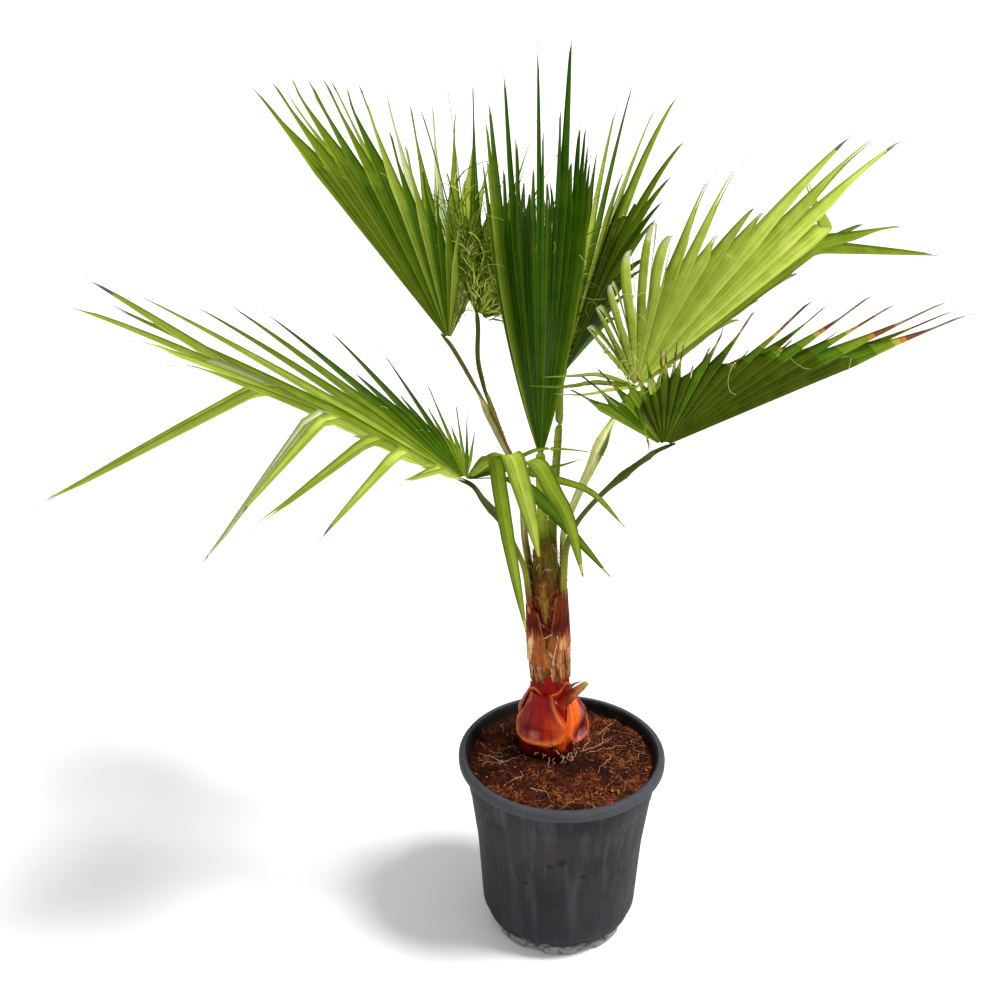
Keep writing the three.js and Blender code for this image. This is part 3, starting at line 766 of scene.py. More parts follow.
def pot_paint():
    """Dusty charcoal plastic: faint upright streaks, darker towards the bottom, a painted highlight on the
    lip, dirt, dark spots and chalky scuffs on the foot.
    """
    paint = Paint("pot_charcoal", 0.62, 0.15)
    place = paint.object_place()
    height = paint.node("ShaderNodeSeparateXYZ", {"Vector": place}).outputs["Z"]
    clouds = paint.noise(place, 9.0, 6.0, 0.6)
    fine = paint.noise(place, 90.0, 5.0, 0.65)
    streaks = paint.noise(paint.stretched(place, (60.0, 60.0, 3.0)), 1.0, 4.0)
    base = paint.mix(paint.between(clouds, 0.35, 0.65), screen(26, 26, 28), screen(44, 42, 44))
    dirt = paint.sum("MULTIPLY", clouds, fine)
    scuffs = paint.sum("MULTIPLY", paint.between(height, 0.06, 0.0), fine)
    for value, low, high, share, colour in (
        (streaks, 0.48, 0.7, 0.6, (74, 74, 80)),
        (height, 0.16, 0.06, 0.6, (28, 30, 38)),
        # Painted highlight: the lip, from 292 mm up, is painted lighter
        (height, 0.292, 0.298, 0.75, (66, 70, 75)),
        (dirt, 0.27, 0.38, 0.35, (58, 44, 36)),
        (scuffs, 0.28, 0.44, 0.85, (142, 141, 141)),
    ):
        base = paint.over(base, value, low, high, share, screen(*colour))
    for x, z, radius in SPOTS:
        middle = (x * MM, spot_depth(x, z) * MM, z * MM)
        away = paint.node("ShaderNodeVectorMath", {0: place, 1: middle}, operation="DISTANCE")
        ragged = paint.sum("ADD", away.outputs["Value"], paint.between(fine, 0.3, 0.7, -0.003, 0.003))
        base = paint.over(base, ragged, radius * MM, radius * 0.5 * MM, 0.85, screen(16, 15, 16))
    paint.colour(base)
    paint.roughness(paint.between(fine, 0.3, 0.7, 0.55, 0.7))
    paint.bump(paint.sum("ADD", fine, streaks), 0.3, 0.003)
    return paint.material


def spot_depth(x, z):
    return -math.sqrt(max(wall_radius(z) ** 2 - x * x, 0))


def floor_paint():
    paint = Paint("pale_floor", 0.9)
    patches = paint.noise(paint.object_place(), 0.6, 2.0)
    paint.colour(paint.mix(patches, (0.86, 0.86, 0.86, 1), (0.88, 0.88, 0.88, 1)))
    return paint.material


# Leaf paints: colour, lighter colour, colour of the light that shines through, its share, and roughness
# where it isn't the usual one
LEAF_PAINTS = {
    "leaf_deep": ((30, 74, 2), (76, 114, 12), (66, 128, 8), 0.12),
    "leaf_dark": ((54, 94, 6), (104, 136, 26), (110, 164, 16), 0.2),
    "leaf_olive": ((46, 66, 3), (92, 110, 18), (96, 128, 12), 0.12),
    "leaf_dull": ((112, 124, 36), (166, 172, 92), (150, 172, 50), 0.25),
    "leaf_mid": ((100, 130, 14), (150, 168, 50), (156, 190, 30), 0.28),
    "leaf_bright": ((136, 164, 28), (196, 208, 92), (186, 212, 40), 0.3),
    "leaf_yellow": ((166, 194, 40), (220, 230, 116), (210, 228, 56), 0.3),
    # leaf_pale is a painted glossy highlight where it is dealt among lit leaflets, and the own pale colour
    # of the fingers' cut ends
    "leaf_pale": ((174, 190, 104), (228, 234, 188), (206, 222, 110), 0.28),
    "tip_yellow": ((176, 160, 48), (214, 196, 90), (206, 180, 56), 0.25),
    "tip_orange": ((170, 100, 30), (206, 150, 66), (205, 130, 40), 0.2, 0.6),
    "tip_brown": ((96, 48, 24), (142, 90, 54), (140, 76, 36), 0.15, 0.7),
}

# Paints in the mesh's own colours: roughness, how fine the streaks are along X, Y and Z, their contrast,
# and a coat for the glossy one
SKIN_PAINTS = {
    "skin_limb": (0.5, (90.0, 90.0, 20.0), 0.25),
    "skin_dry": (0.8, (60.0, 60.0, 8.0), 0.5),
    "skin_gloss": (0.4, (160.0, 160.0, 30.0), 0.3, 0.1),
}

# Plain paints: two near colours, how fine their patches are, and roughness
PLAIN_PAINTS = {
    "tip_grey": ((92, 82, 66), (146, 130, 108), 60.0, 0.8),
    "thread": ((190, 190, 100), (226, 224, 160), 80.0, 0.7),
    "strand": ((140, 156, 34), (212, 216, 112), 40.0, 0.6),
    "strand_dark": ((52, 74, 6), (110, 124, 22), 40.0, 0.6),
    "tooth": ((120, 84, 34), (196, 176, 130), 300.0, 0.5),
    "fibre": ((82, 38, 16), (130, 78, 40), 90.0, 0.85),
    "fibre_tan": ((170, 104, 58), (208, 154, 106), 90.0, 0.8),
    "hair": ((186, 160, 124), (220, 204, 176), 90.0, 0.7),
    "chip_dark": ((20, 7, 3), (44, 18, 10), 60.0, 0.95),
    "chip_brown": ((70, 27, 12), (110, 50, 24), 60.0, 0.9),
    "chip_orange": ((146, 68, 24), (196, 116, 54), 60.0, 0.9),
    "chip_green": ((140, 132, 36), (190, 176, 74), 60.0, 0.85),
    "chip_pink": ((186, 150, 136), (220, 196, 184), 60.0, 0.8),
    "root": ((138, 88, 62), (196, 156, 126), 70.0, 0.8),
    # The inner wall of the pot below its rim, painted near black as painted shade
    "pot_inside": ((18, 17, 17), (32, 27, 25), 30.0, 0.8),
}


def all_paints():
    paints = {"soil_peat": soil_paint(), "pot_charcoal": pot_paint(), "pale_floor": floor_paint()}
    for make, table in ((leaf_paint, LEAF_PAINTS), (skin_paint, SKIN_PAINTS), (plain_paint, PLAIN_PAINTS)):
        for name, values in table.items():
            paints[name] = make(name, *values)
    return paints


# Pot


LIP_FOOT = POT["height"] - POT["lip_height"]
BAND_FOOT = LIP_FOOT - POT["band_height"]


def wall_radius(z):
    """Radius of the pot's outer wall between its shoulder and the foot of its lip."""
    top = POT["rim"] - POT["lip_overhang"]
    heights = [POT["shoulder"][1], POT["knee"][1], BAND_FOOT, LIP_FOOT]
    radii = [POT["shoulder"][0], POT["knee"][0], top - POT["band_taper"], top]
    return float(np.interp(z, heights, radii))


def inner_radius(z):
    return wall_radius(z) - POT["band_step"] - POT["wall"]


def arc(radius, z, size, first, last, count=6):
    angles = np.radians(np.linspace(first, last, count))
    return [(radius + size * math.cos(a), z + size * math.sin(a)) for a in angles]


def line_between(start, end, count):
    return [tuple(np.array(start) + (np.array(end) - start) * k / count) for k in range(1, count + 1)]


def pot_profile():
    """Radius and height from the middle of the underside up the outside and down to the soil."""
    size = POT["lip_round"]
    ring, ring_height = POT["ring"]
    shoulder, shoulder_height = POT["shoulder"]
    points = [(0, 0), (POT["underside"] - 8, 0), (POT["underside"], 0)]
    points += [(POT["foot"] - 2.5, 1.6), (POT["foot"] - 0.6, 3.2)]
    points += line_between(points[-1], (POT["foot"] + 1, ring_height), 8)
    points += [(ring - 1, ring_height + 2.2), (ring, ring_height + 3.6)]
    points += line_between(points[-1], (ring + 1, shoulder_height - 7), 3)
    points += [(ring + 3, shoulder_height - 3), (shoulder - 0.6, shoulder_height - 0.5)]
    points += [(shoulder + 0.1, shoulder_height + 1)]
    points += line_between(points[-1], (wall_radius(100), 100), 5)
    points += line_between(points[-1], POT["knee"], 5)
    band = wall_radius(BAND_FOOT)
    points += line_between(points[-1], (band - 0.8, BAND_FOOT - 1), 12)
    points += [(band - 0.2, BAND_FOOT + 0.8), (band + 0.9, BAND_FOOT + 2.5)]
    points += line_between(points[-1], (wall_radius(LIP_FOOT), LIP_FOOT - 1), 5)
    points += [(POT["rim"] - size - 1, LIP_FOOT)]
    points += arc(POT["rim"] - size, LIP_FOOT + size, size, -80, 0)
    points += arc(POT["rim"] - size, POT["height"] - size, size, 0, 90)
    points += arc(POT["rim"] - POT["lip_width"] + size, POT["height"] - size, size, 90, 180)
    points += [(inner_radius(z), z) for z in (LIP_FOOT, 284, 262)]
    return points


def pot_shape():
    shape = Shape()
    angles = np.linspace(0, 2 * math.pi, POT["sectors"], endpoint=False)
    outside_from = POT["shoulder"][1]
    notch_turn = POT["notch_width"] / 2 / POT["foot"]
    rows = []
    inside = False
    for radius, z in pot_profile():
        inside = inside or z >= POT["height"] - 0.01
        rises = math.pi * (z - outside_from) / (BAND_FOOT - outside_from)
        row = []
        for angle in angles:
            r = radius
            if outside_from < z < BAND_FOOT and not inside:
                flute = max(0.0, math.cos(angle * POT["flutes"])) ** 6
                r -= POT["flute_depth"] * flute * math.sin(rises)
            if z < POT["notch_height"] and radius > POT["underside"] - 4:
                turn = 2 * math.pi / POT["notches"]
                away = abs((angle / turn) % 1 - 0.5) * turn
                r -= POT["notch_depth"] * (1 - smooth_step(away, notch_turn * 0.85, notch_turn))
            if radius > POT["underside"] / 2:
                place = Vector((math.cos(angle) * 2, math.sin(angle) * 2, z * 0.012))
                r += POT["unevenness"] * noise.noise(place)
            row.append((r * math.cos(angle), r * math.sin(angle), z))
        rows.append(row)
    inside_from = len(rows) - POT["inside_rows"]
    # The rows inside the rim take the near black of painted shade
    shape.grid(rows, lambda r, c: "pot_inside" if r >= inside_from else "pot_charcoal", closed=True)
    return shape


# Soil


def from_trunk(x, y):
    return math.hypot(x - TRUNK["foot"][0], y - TRUNK["foot"][1])


def soil_height(x, y):
    """Height of the soil with its heaps, which ease off round the trunk."""
    flat = SOIL["flat_around_trunk"]
    free = smooth_step(from_trunk(x, y), flat, flat + SOIL["eases_over"])
    height = 0.0
    for rise, azimuth, distance, width in SOIL["heaps"]:
        middle = direction(azimuth) * distance
        away = math.hypot(x - middle[0], y - middle[1]) / width
        height += rise * math.exp(-away * away)
    return SOIL["level"] + free * height


def soil_surface(x, y):
    """Height of the lumpy face of the soil."""
    lumps = rough((x, y, 0), 26, 3) * SOIL["lumps"]
    crumbs = rough((x, y, 40), 6, 3) * SOIL["crumbs"]
    return soil_height(x, y) + lumps + crumbs - 1


def coir_shape():
    """Short coir fibres lying over one another, more of them orange at the right and the front."""
    shape = Shape()
    for i in range(SOIL["fibres"]):
        x, y = on_soil(131, i)
        orange = rough((x, y, 9), 34, 2) + 0.35 * (x > 30) + 0.2 * (y < -60)
        paint = "chip_orange" if orange > 0.28 else ("chip_brown" if i % 3 else "chip_dark")
        heading = direction(share_of(133, i) * 360, scatter(134, i) * 30)
        foot = np.array([x, y, soil_surface(x, y) + 0.4])
        line = curly_line(foot, heading, 5 + 9 * share_of(135, i), 700 + i, 0.5, 0.1, 5)
        shape.tube(line, 0.45, 0.25, paint)
    return shape


def soil_shape():
    shape = Shape()
    edge = inner_radius(SOIL["level"]) - 0.6
    angles = np.linspace(0, 2 * math.pi, SOIL["sectors"], endpoint=False)
    rows = []
    for radius in edge * np.linspace(1, 0.004, SOIL["rings"]):
        places = [(radius * math.cos(a), radius * math.sin(a)) for a in angles]
        rows.append([(x, y, soil_surface(x, y)) for x, y in places])
    under = [[(edge * math.cos(a), edge * math.sin(a), SOIL["level"] - 25) for a in angles]]
    shape.grid(under + rows, "soil_peat", closed=True)
    return shape


def on_soil(seed, i):
    """A seeded place on the soil outside the trunk."""
    tries = 20
    for k in range(i * tries, (i + 1) * tries):
        angle = share_of(seed, k) * 2 * math.pi
        radius = (inner_radius(SOIL["level"]) - SOIL["clear_of_wall"]) * math.sqrt(share_of(seed + 1, k))
        x, y = radius * math.cos(angle), radius * math.sin(angle)
        if from_trunk(x, y) > SOIL["clear_of_trunk"]:
            break
    return x, y


def chips_shape():
    """Peat crumbs, coir flakes and bits of old leaf that lie on the soil."""
    shape = Shape()
    kinds = ["chip_dark", "chip_brown", "chip_brown", "chip_dark", "chip_orange", "chip_brown"]
    for i in range(SOIL["chips"]):
        x, y = on_soil(31, i)
        size = 1.2 + 2.8 * share_of(33, i) ** 3
        paint = kinds[i % len(kinds)]
        if i % SOIL["pink_every"] == 0:
            paint, size = "chip_pink", 1.2
        if i % SOIL["green_every"] == 0:
            paint, size = "chip_green", 2.4
        orange_side = x > 40 or (x < -60 and y < 40)
        if paint == "chip_orange" and not orange_side:
            paint = "chip_brown"
        z = soil_surface(x, y)
        along = direction(share_of(34, i) * 360, scatter(35, i) * 25)
        across = unit(np.cross(along, UP)) * size * (0.35 + 0.3 * share_of(36, i))
        long = along * size * (1 + 1.5 * share_of(37, i) ** 2)
        middle = np.array([x, y, z + size * 0.15])
        top = middle + UP * size * 0.35
        corners = [middle + long, middle + across, middle - long, middle - across]
        for a, b in zip(corners, corners[1:] + corners[:1]):
            shape.face([a, b, top], paint)
    return shape


def creeping_line(start, heading, length, seed, turn, count, lift):
    """A wandering line that follows the soil's face."""
    x, y = start
    angle = heading
    points = []
    for k in range(count):
        arch = math.sin(math.pi * k / (count - 1)) * lift
        points.append((x, y, soil_surface(x, y) + 0.8 + arch))
        angle += turn * scatter(seed, k) + turn * 0.5 * math.sin(k * 0.7 + seed)
        x += math.cos(angle) * length / count
        y += math.sin(angle) * length / count
        if math.hypot(x, y) > inner_radius(SOIL["level"]) - SOIL["clear_of_wall"]:
            angle += 1.4
            x *= 0.97
            y *= 0.97
    return np.array(points)


# The roots that show most: place, heading, length and radius
LONG_ROOTS = [
    (34, 26, 60, 62, 0.9),
    (34, 24, 12, 70, 0.8),
    (44, 20, -20, 66, 0.8),
    (62, 34, 75, 58, 0.8),
    (78, 6, -130, 52, 0.9),
    (-128, 16, -25, 60, 0.9),
    (-96, -12, 30, 50, 0.7),
    (-64, -30, -60, 46, 0.8),
    (-50, -74, -35, 42, 1.0),
    (60, 64, 40, 46, 0.7),
]


def roots_shape():
    """Thin pale roots that curl over the soil, the thickest ones at the right and the left."""
    shape = Shape()
    for i in range(SOIL["roots"]):
        start = on_soil(51, i)
        heading = share_of(52, i) * 2 * math.pi
        length = 16 + 34 * share_of(53, i)
        line = creeping_line(start, heading, length, 60 + i, 0.7, 14, 1.5 * share_of(54, i))
        radius = 0.28 + 0.3 * share_of(55, i) ** 2
        shape.tube(line, radius, radius * 0.5, "root")
    for x, y, heading, length, radius in LONG_ROOTS:
        line = creeping_line((x, y), math.radians(heading), length, x, 0.28, 22, 3.5)
        shape.tube(line, radius, radius * 0.4, "root", sides=5)
    return shape



# Trunk

# Colours up the trunk's front, from the soil to its tip
TRUNK_TONES = [
    (0, (50, 8, 5)),
    (40, (118, 18, 7)),
    (95, (140, 20, 8)),
    (128, (124, 26, 10)),
    (146, (108, 44, 16)),
    (170, (144, 78, 34)),
    (212, (148, 80, 36)),
    (222, (82, 10, 10)),
    (240, (84, 18, 9)),
    (262, (112, 44, 14)),
    (292, (104, 66, 20)),
    (320, (100, 94, 24)),
    (358, (88, 66, 22)),
]

# Marks on the trunk: azimuth, height, half width in degrees, half height, slant in degrees over its
# height, and colour
TRUNK_MARKS = [
    (-152, 184, 13, 34, 14, (206, 162, 116)),
    (-50, 196, 17, 20, 0, (190, 130, 78)),
    (-76, 172, 7, 20, -22, (216, 166, 116)),
    (-110, 172, 16, 20, 8, (158, 92, 44)),
    (-92, 130, 26, 15, 0, (156, 14, 8)),
    (-148, 262, 8, 13, 0, (184, 104, 50)),
    (-104, 268, 15, 30, 0, (132, 104, 30)),
    (-46, 268, 32, 24, 0, (100, 34, 14)),
    (-98, 318, 12, 18, 0, (92, 44, 20)),
    (60, 190, 40, 22, 10, (200, 146, 96)),
    (140, 176, 24, 26, -12, (214, 172, 128)),
]


def trunk_axis(height):
    share = height / TRUNK["height"]
    x, y = TRUNK["foot"]
    lean_x, lean_y = TRUNK["lean"]
    return np.array([x + lean_x * share * share, y + lean_y * share, SOIL["level"] + height])


def profile_radius(height):
    heights, radii = zip(*TRUNK["profile"])
    return float(np.interp(height, heights, radii))


def trunk_radius(height, azimuth):
    turn = math.radians(azimuth) * TRUNK["flare_lobes"]
    lobe = 1 + TRUNK["flare"] * math.cos(turn) * math.exp(-height / TRUNK["flare_height"])
    return profile_radius(height) * lobe


def trunk_point(height, azimuth, off):
    return trunk_axis(height) + direction(azimuth) * (trunk_radius(height, azimuth) + off)


# Margins of old sheaths round the trunk, oldest first: azimuth and height of the tip, fall over half a
# turn, and colour of the rim
SHEATHS = [
    (300, 66, 66, (230, 124, 60)),
    (214, 118, 60, (222, 118, 62)),
    (322, 126, 66, (214, 108, 54)),
    (100, 120, 80, (196, 96, 46)),
    (262, 150, 84, (170, 96, 52)),
    (20, 166, 90, (176, 120, 74)),
    (205, 200, 78, (206, 158, 112)),
    (318, 210, 84, (206, 152, 100)),
    (80, 210, 76, (190, 140, 94)),
    (250, 232, 46, (120, 60, 40)),
    (350, 240, 50, (150, 92, 60)),
    (140, 246, 60, (160, 110, 66)),
    (225, 280, 60, (150, 104, 50)),
    (320, 292, 60, (140, 92, 40)),
    (90, 300, 60, (140, 130, 50)),
]

# How far below its margin the light rim of a sheath fades, how far its margin stands out, and how far
# below the margin that eases off
SHEATH_RIM = (1.2, 4.0)
SHEATH_LIP = 2.4
SHEATH_EASES = 26


def sheath_at(height, azimuth):
    """The sheath that shows at a place on the trunk and how far below its margin the place lies."""
    for number, (centre, top, fall, _) in enumerate(SHEATHS):
        turn = abs((azimuth - centre + 180) % 360 - 180) / 180
        wavy = 2.0 * math.sin(azimuth * 0.11 + number * 2)
        margin = top - fall * turn**1.2 + wavy
        if height < margin:
            return number, margin - height
    return len(SHEATHS), SHEATH_EASES


def tone_at(tones, height):
    heights = [h for h, _ in tones]
    colours = np.array([tone(*c) for _, c in tones])
    return np.array([np.interp(height, heights, colours[:, k]) for k in range(3)])


def marked(colour, height, azimuth, ragged):
    """A colour at a place on the trunk with the marks that cover it."""
    for centre, middle, half, tall, slant, mark in TRUNK_MARKS:
        up = (height - middle) / tall
        turn = ((azimuth - centre - slant * up + 180) % 360 - 180) / half
        away = math.hypot(turn, up) + 0.3 * ragged
        colour = layered(colour, (mark, 1 - smooth_step(away, 0.7, 1.1)))
    return colour


def trunk_tint(height, azimuth, number, below):
    """Colour of the trunk: its tones from foot to tip, its marks, streaks and light rims on old sheaths."""
    ragged = rough((azimuth * 0.5, height * 0.5, 3), 9, 3)
    colour = tone_at(TRUNK_TONES, height + 7 * ragged + 5 * math.sin(number * 2.4))
    colour = marked(colour, height, azimuth, ragged)
    streak = rough((azimuth * 1.1, height * 0.07, number * 7), 4, 3)
    colour = colour * (1 + 0.5 * streak)
    if number < len(SHEATHS):
        rim = 0.8 * (1 - smooth_step(below, *SHEATH_RIM))
        colour = layered(colour, (SHEATHS[number][3], rim))
    return np.clip(colour, DARKEST, 1)


def trunk_shape():
    """The leaning trunk with the lips of its old sheaths and its fibres."""

    def place(height, azimuth):
        number, below = sheath_at(height, azimuth)
        lip = SHEATH_LIP * (1 - smooth_step(below, 0, SHEATH_EASES))
        fibres = rough((azimuth * 1.6 + number * 50, height * 0.18, number * 9), 5, 3)
        fibres *= 0.35 if height < 100 else 0.8
        point = trunk_point(height, azimuth, 0) + direction(azimuth) * (lip + fibres - 0.6)
        return point, trunk_tint(height, azimuth, number, below)

    shape = Shape()
    turns = np.linspace(0, 360, TRUNK["columns"], endpoint=False)
    rows, tints = over_grid(place, np.linspace(0, TRUNK["height"], TRUNK["rows"]), turns)
    shape.grid(rows, "skin_dry", closed=True, tints=tints)
    shape.cap(rows[-1], "skin_dry", tint=tints[-1][0])
    return shape


def hollow_tint(u, v, ring):
    """Front base: a rolled orange rim in the shape of a U, deep red inside with a pink sheen."""
    lit = smooth_step(u, 0.0, 0.6) * (1 - smooth_step(v, 0.55, 0.85))
    patches = rough((u * 26, v * 34, 2), 9, 3)
    sheen = math.hypot((u + 0.05) / 0.34, (v - 0.42) / 0.12) + 0.5 * patches
    upper = smooth_step(v, 0.56, 0.66) * (1 - smooth_step(abs(u + 0.2), 0.3, 0.6))
    return layered(
        tone(116, 7, 4),
        ((186, 58, 16), lit),
        ((196, 104, 92), 0.8 * (1 - smooth_step(sheen, 0.3, 1))),
        ((134, 8, 4), upper),
        ((222, 112, 48), ring * (0.7 + 0.8 * patches)),
        ((84, 8, 7), smooth_step(0.3 - v - 0.08 * patches, 0.0, 0.05)),
        ((30, 6, 5), smooth_step(0.12 - v, 0.0, 0.1)),
    )


def lobe_tint(u, v, ring):
    """Right base: bright orange at its top left, purple-maroon with patches of painted pink sheen below, an
    orange rim.
    """
    patches = rough((u * 30, v * 40, 5), 9, 2)
    sheen = math.hypot((u + 0.1) / 0.5, (v - 0.36) / 0.18) + 0.4 * patches
    return layered(
        tone(88, 13, 12),
        ((222, 92, 22), smooth_step(v - 0.35 * u, 0.6, 0.85)),
        # Painted highlight: a pink sheen in patches over the maroon
        ((172, 108, 112), 0.75 * (1 - smooth_step(sheen, 0.3, 1))),
        ((206, 92, 36), ring * 0.6),
        ((38, 7, 7), smooth_step(0.22 - v, 0.0, 0.18)),
    )


def plain_base_tint(u, v, ring):
    return layered(tone(92, 16, 9), ((160, 52, 20), smooth_step(v, 0.3, 0.9)), ((208, 104, 48), ring * 0.8))


OLD_BASES = {
    "old_base_front": {"azimuth": 243, "half": 62, "top": 112, "thick": 8, "tint": hollow_tint},
    "old_base_right": {"azimuth": 336, "half": 46, "top": 96, "thick": 9, "tint": lobe_tint},
    "old_base_back": {"azimuth": 98, "half": 74, "top": 112, "thick": 7, "tint": plain_base_tint},
}
OLD_BASE_LIFT = 3
OLD_BASE_GRID = (57, 61)
PAPERY_GRID = (45, 41)


def old_base_shape(base, seed):
    """The smooth fleshy foot of an old leaf with a thick rolled rim."""

    def place(v, u):
        narrow = 1 - 0.45 * smooth_step(v, 0.45, 1.0)
        ragged = 1 + 0.04 * rough((u * 40, v * 60, seed), 14)
        turn = base["azimuth"] + base["half"] * narrow * u * ragged
        foot = max(0.0, 0.66 - v) / 0.34
        reach = ((abs(u) / 0.8) ** 3 + foot**3) ** (1 / 3)
        ring = math.exp(-(((reach - 1) / 0.11) ** 2)) * (1 - smooth_step(v, 0.8, 0.98) * (abs(u) < 0.6))
        swell = 0.5 + 0.5 * ring + 0.25 * (1 - smooth_step(reach, 0.0, 0.7))
        edge = 1 - smooth_step(abs(u), 0.9, 1.0)
        body = base["thick"] * swell * (0.3 + 0.7 * edge) * (1 - 0.5 * smooth_step(v, 0.7, 1))
        body *= 1 - 0.4 * (1 - smooth_step(v, 0, 0.1))
        body += 0.5 * rough((u * 30, v * 30, seed), 9)
        lift = OLD_BASE_LIFT * v * v
        inner = trunk_point(base["top"] * v, turn, 0.6 + lift)
        outer = trunk_point(base["top"] * v, turn, 0.8 + lift + body)
        return inner, outer, base["tint"](u, v, ring) * (1 + 0.45 * rough((u * 34, v * 9, seed * 3), 5))

    shape = Shape()
    closed_skin(shape, *OLD_BASE_GRID, "skin_gloss", place)
    return shape


def over_grid(place, ups, acrosses):
    """Arrays of what place gives at each height and each place across."""
    cells = [[place(up, across) for across in acrosses] for up in ups]
    return [np.array([[cell[k] for cell in row] for row in cells]) for k in range(len(cells[0][0]))]


def closed_skin(shape, rows, columns, paint, place):
    """A skin over the trunk, its back towards the trunk in painted shade at half its colour, and edges all
    round.
    place gives its inner point, its outer point and its colour at v, 0 to 1 up, and u, -1 to 1 across."""
    inner, outer, tints = over_grid(place, np.linspace(0, 1, rows), np.linspace(-1, 1, columns))
    tints = np.clip(tints, DARKEST, 1)
    shape.grid(outer, paint, tints=tints)
    # Painted shade: the back faces, towards the trunk, take half the colour of the front
    shape.grid(inner[:, ::-1], paint, tints=tints[:, ::-1] * 0.5)
    for front, back, tint in (
        (outer[:, 0], inner[:, 0], tints[:, 0]),
        (inner[:, -1], outer[:, -1], tints[:, -1]),
        (inner[0], outer[0], tints[0]),
        (outer[-1], inner[-1], tints[-1]),
    ):
        shape.grid([back, front], paint, tints=[tint, tint])


def papery_shape(base, seed):
    """A dry torn sheath: thin, wrinkled lengthwise, with curled edges and a ragged top."""
    low, high = base["range"]

    def place(v, u):
        narrow = 1 - 0.62 * v * v
        torn = 14 * rough((u * 30, seed * 7, 3), 7) * v
        height = low + (high - low) * v + torn - 8 * v * abs(u)
        turn = base["azimuth"] + base["half"] * narrow * u + 6 * rough((v * 60, seed, u), 14)
        curl = 2.6 * smooth_step(abs(u), 0.7, 1) * v + base["lift"] * v * v * 0.6
        wrinkle = 0.9 * rough((u * 60, v * 12, seed * 5), 6)
        streak = rough((u * 44, v * 10, seed * 3), 6, 3)
        blotch = rough((u * 20, v * 26, seed + 8), 9, 2)
        colour = layered(
            tone(110, 52, 22),
            ((204, 144, 92), 0.45 + 0.9 * streak + 0.5 * blotch),
            ((112, 26, 12), 1 - smooth_step(v, 0.0, 0.16)),
            ((236, 214, 182), smooth_step(abs(u), 0.82, 0.95) * v),
            ((70, 34, 16), smooth_step(-blotch - streak, 0.4, 0.8)),
        )
        inner = trunk_point(height, turn, 0.8 + curl)
        outer = trunk_point(height, turn, 1.6 + curl + wrinkle + 0.5 * (1 - abs(u)))
        return inner, outer, colour

    shape = Shape()
    closed_skin(shape, *PAPERY_GRID, "skin_dry", place)
    return shape


def stub_shape():
    """The cut leaf stub: a tan upper face with a greenish tip, dark red at its foot, and a ragged end."""
    shape = Shape()
    azimuth, height = CUT_STUB["azimuth"], CUT_STUB["height"]
    rise, off = CUT_STUB["elbow"]
    foot = trunk_point(height, azimuth, -2)
    elbow = trunk_point(height + rise, azimuth + 14, off)
    line = curve_through([foot, elbow, CUT_STUB["tip"]], CUT_STUB["rows"])
    sides = CUT_STUB["sides"]
    _, side, normal = carried_frames(line, unit(np.array(CUT_STUB["across"])))
    onward = unit(line[-1] - line[-2])

    def place(k, m):
        share = k / (len(line) - 1)
        width, thick = spread(CUT_STUB["width"], share), spread(CUT_STUB["thick"], share)
        angle = 2 * math.pi * m / sides
        across, up = math.cos(angle), math.sin(angle)
        lump = 1 + 0.12 * rough((m * 9, share * 40, 2), 8)
        end = 8 * rough((m * 12, 5, 9), 9) * share**8
        sideways = side[k] * across * width / 2 * lump
        upward = normal[k] * (up * thick / 2 * lump - 1.6 * abs(across) ** 3)
        streak = rough((across * 26, share * 9, 4), 5, 2)
        red = (1 - smooth_step(share, 0.55, 0.9)) * smooth_step(across, 0.0, 0.7)
        colour = layered(
            tone(140, 52, 20),
            ((190, 128, 78), smooth_step(share, 0.15, 0.7) + 0.4 * streak),
            ((116, 16, 12), red),
            ((150, 146, 62), smooth_step(share, 0.86, 0.98)),
            ((78, 12, 9), smooth_step(-up, 0.2, 0.7) * (normal[k][1] < 0)),
        )
        return line[k] + sideways + upward + onward * end, colour

    rows, tints = over_grid(place, range(len(line)), range(sides))
    shape.grid(rows, "skin_dry", closed=True, tints=tints)
    shape.cap(rows[-1], "skin_dry", tint=tone(150, 140, 66))
    foot = trunk_point(110, -20, -1)
    spike = curve_through([foot, foot + np.array([10, 0, 10]), foot + np.array([20, -2, 15])], 9)
    shape.tube(spike, 3.4, 0.5, "tip_grey", sides=6)
    return shape


# How many loose fibres lie on the trunk, hairs stand at its top and roots curl at its foot
FIBRES = {"loose": 170, "hairs": 110, "roots": 14}


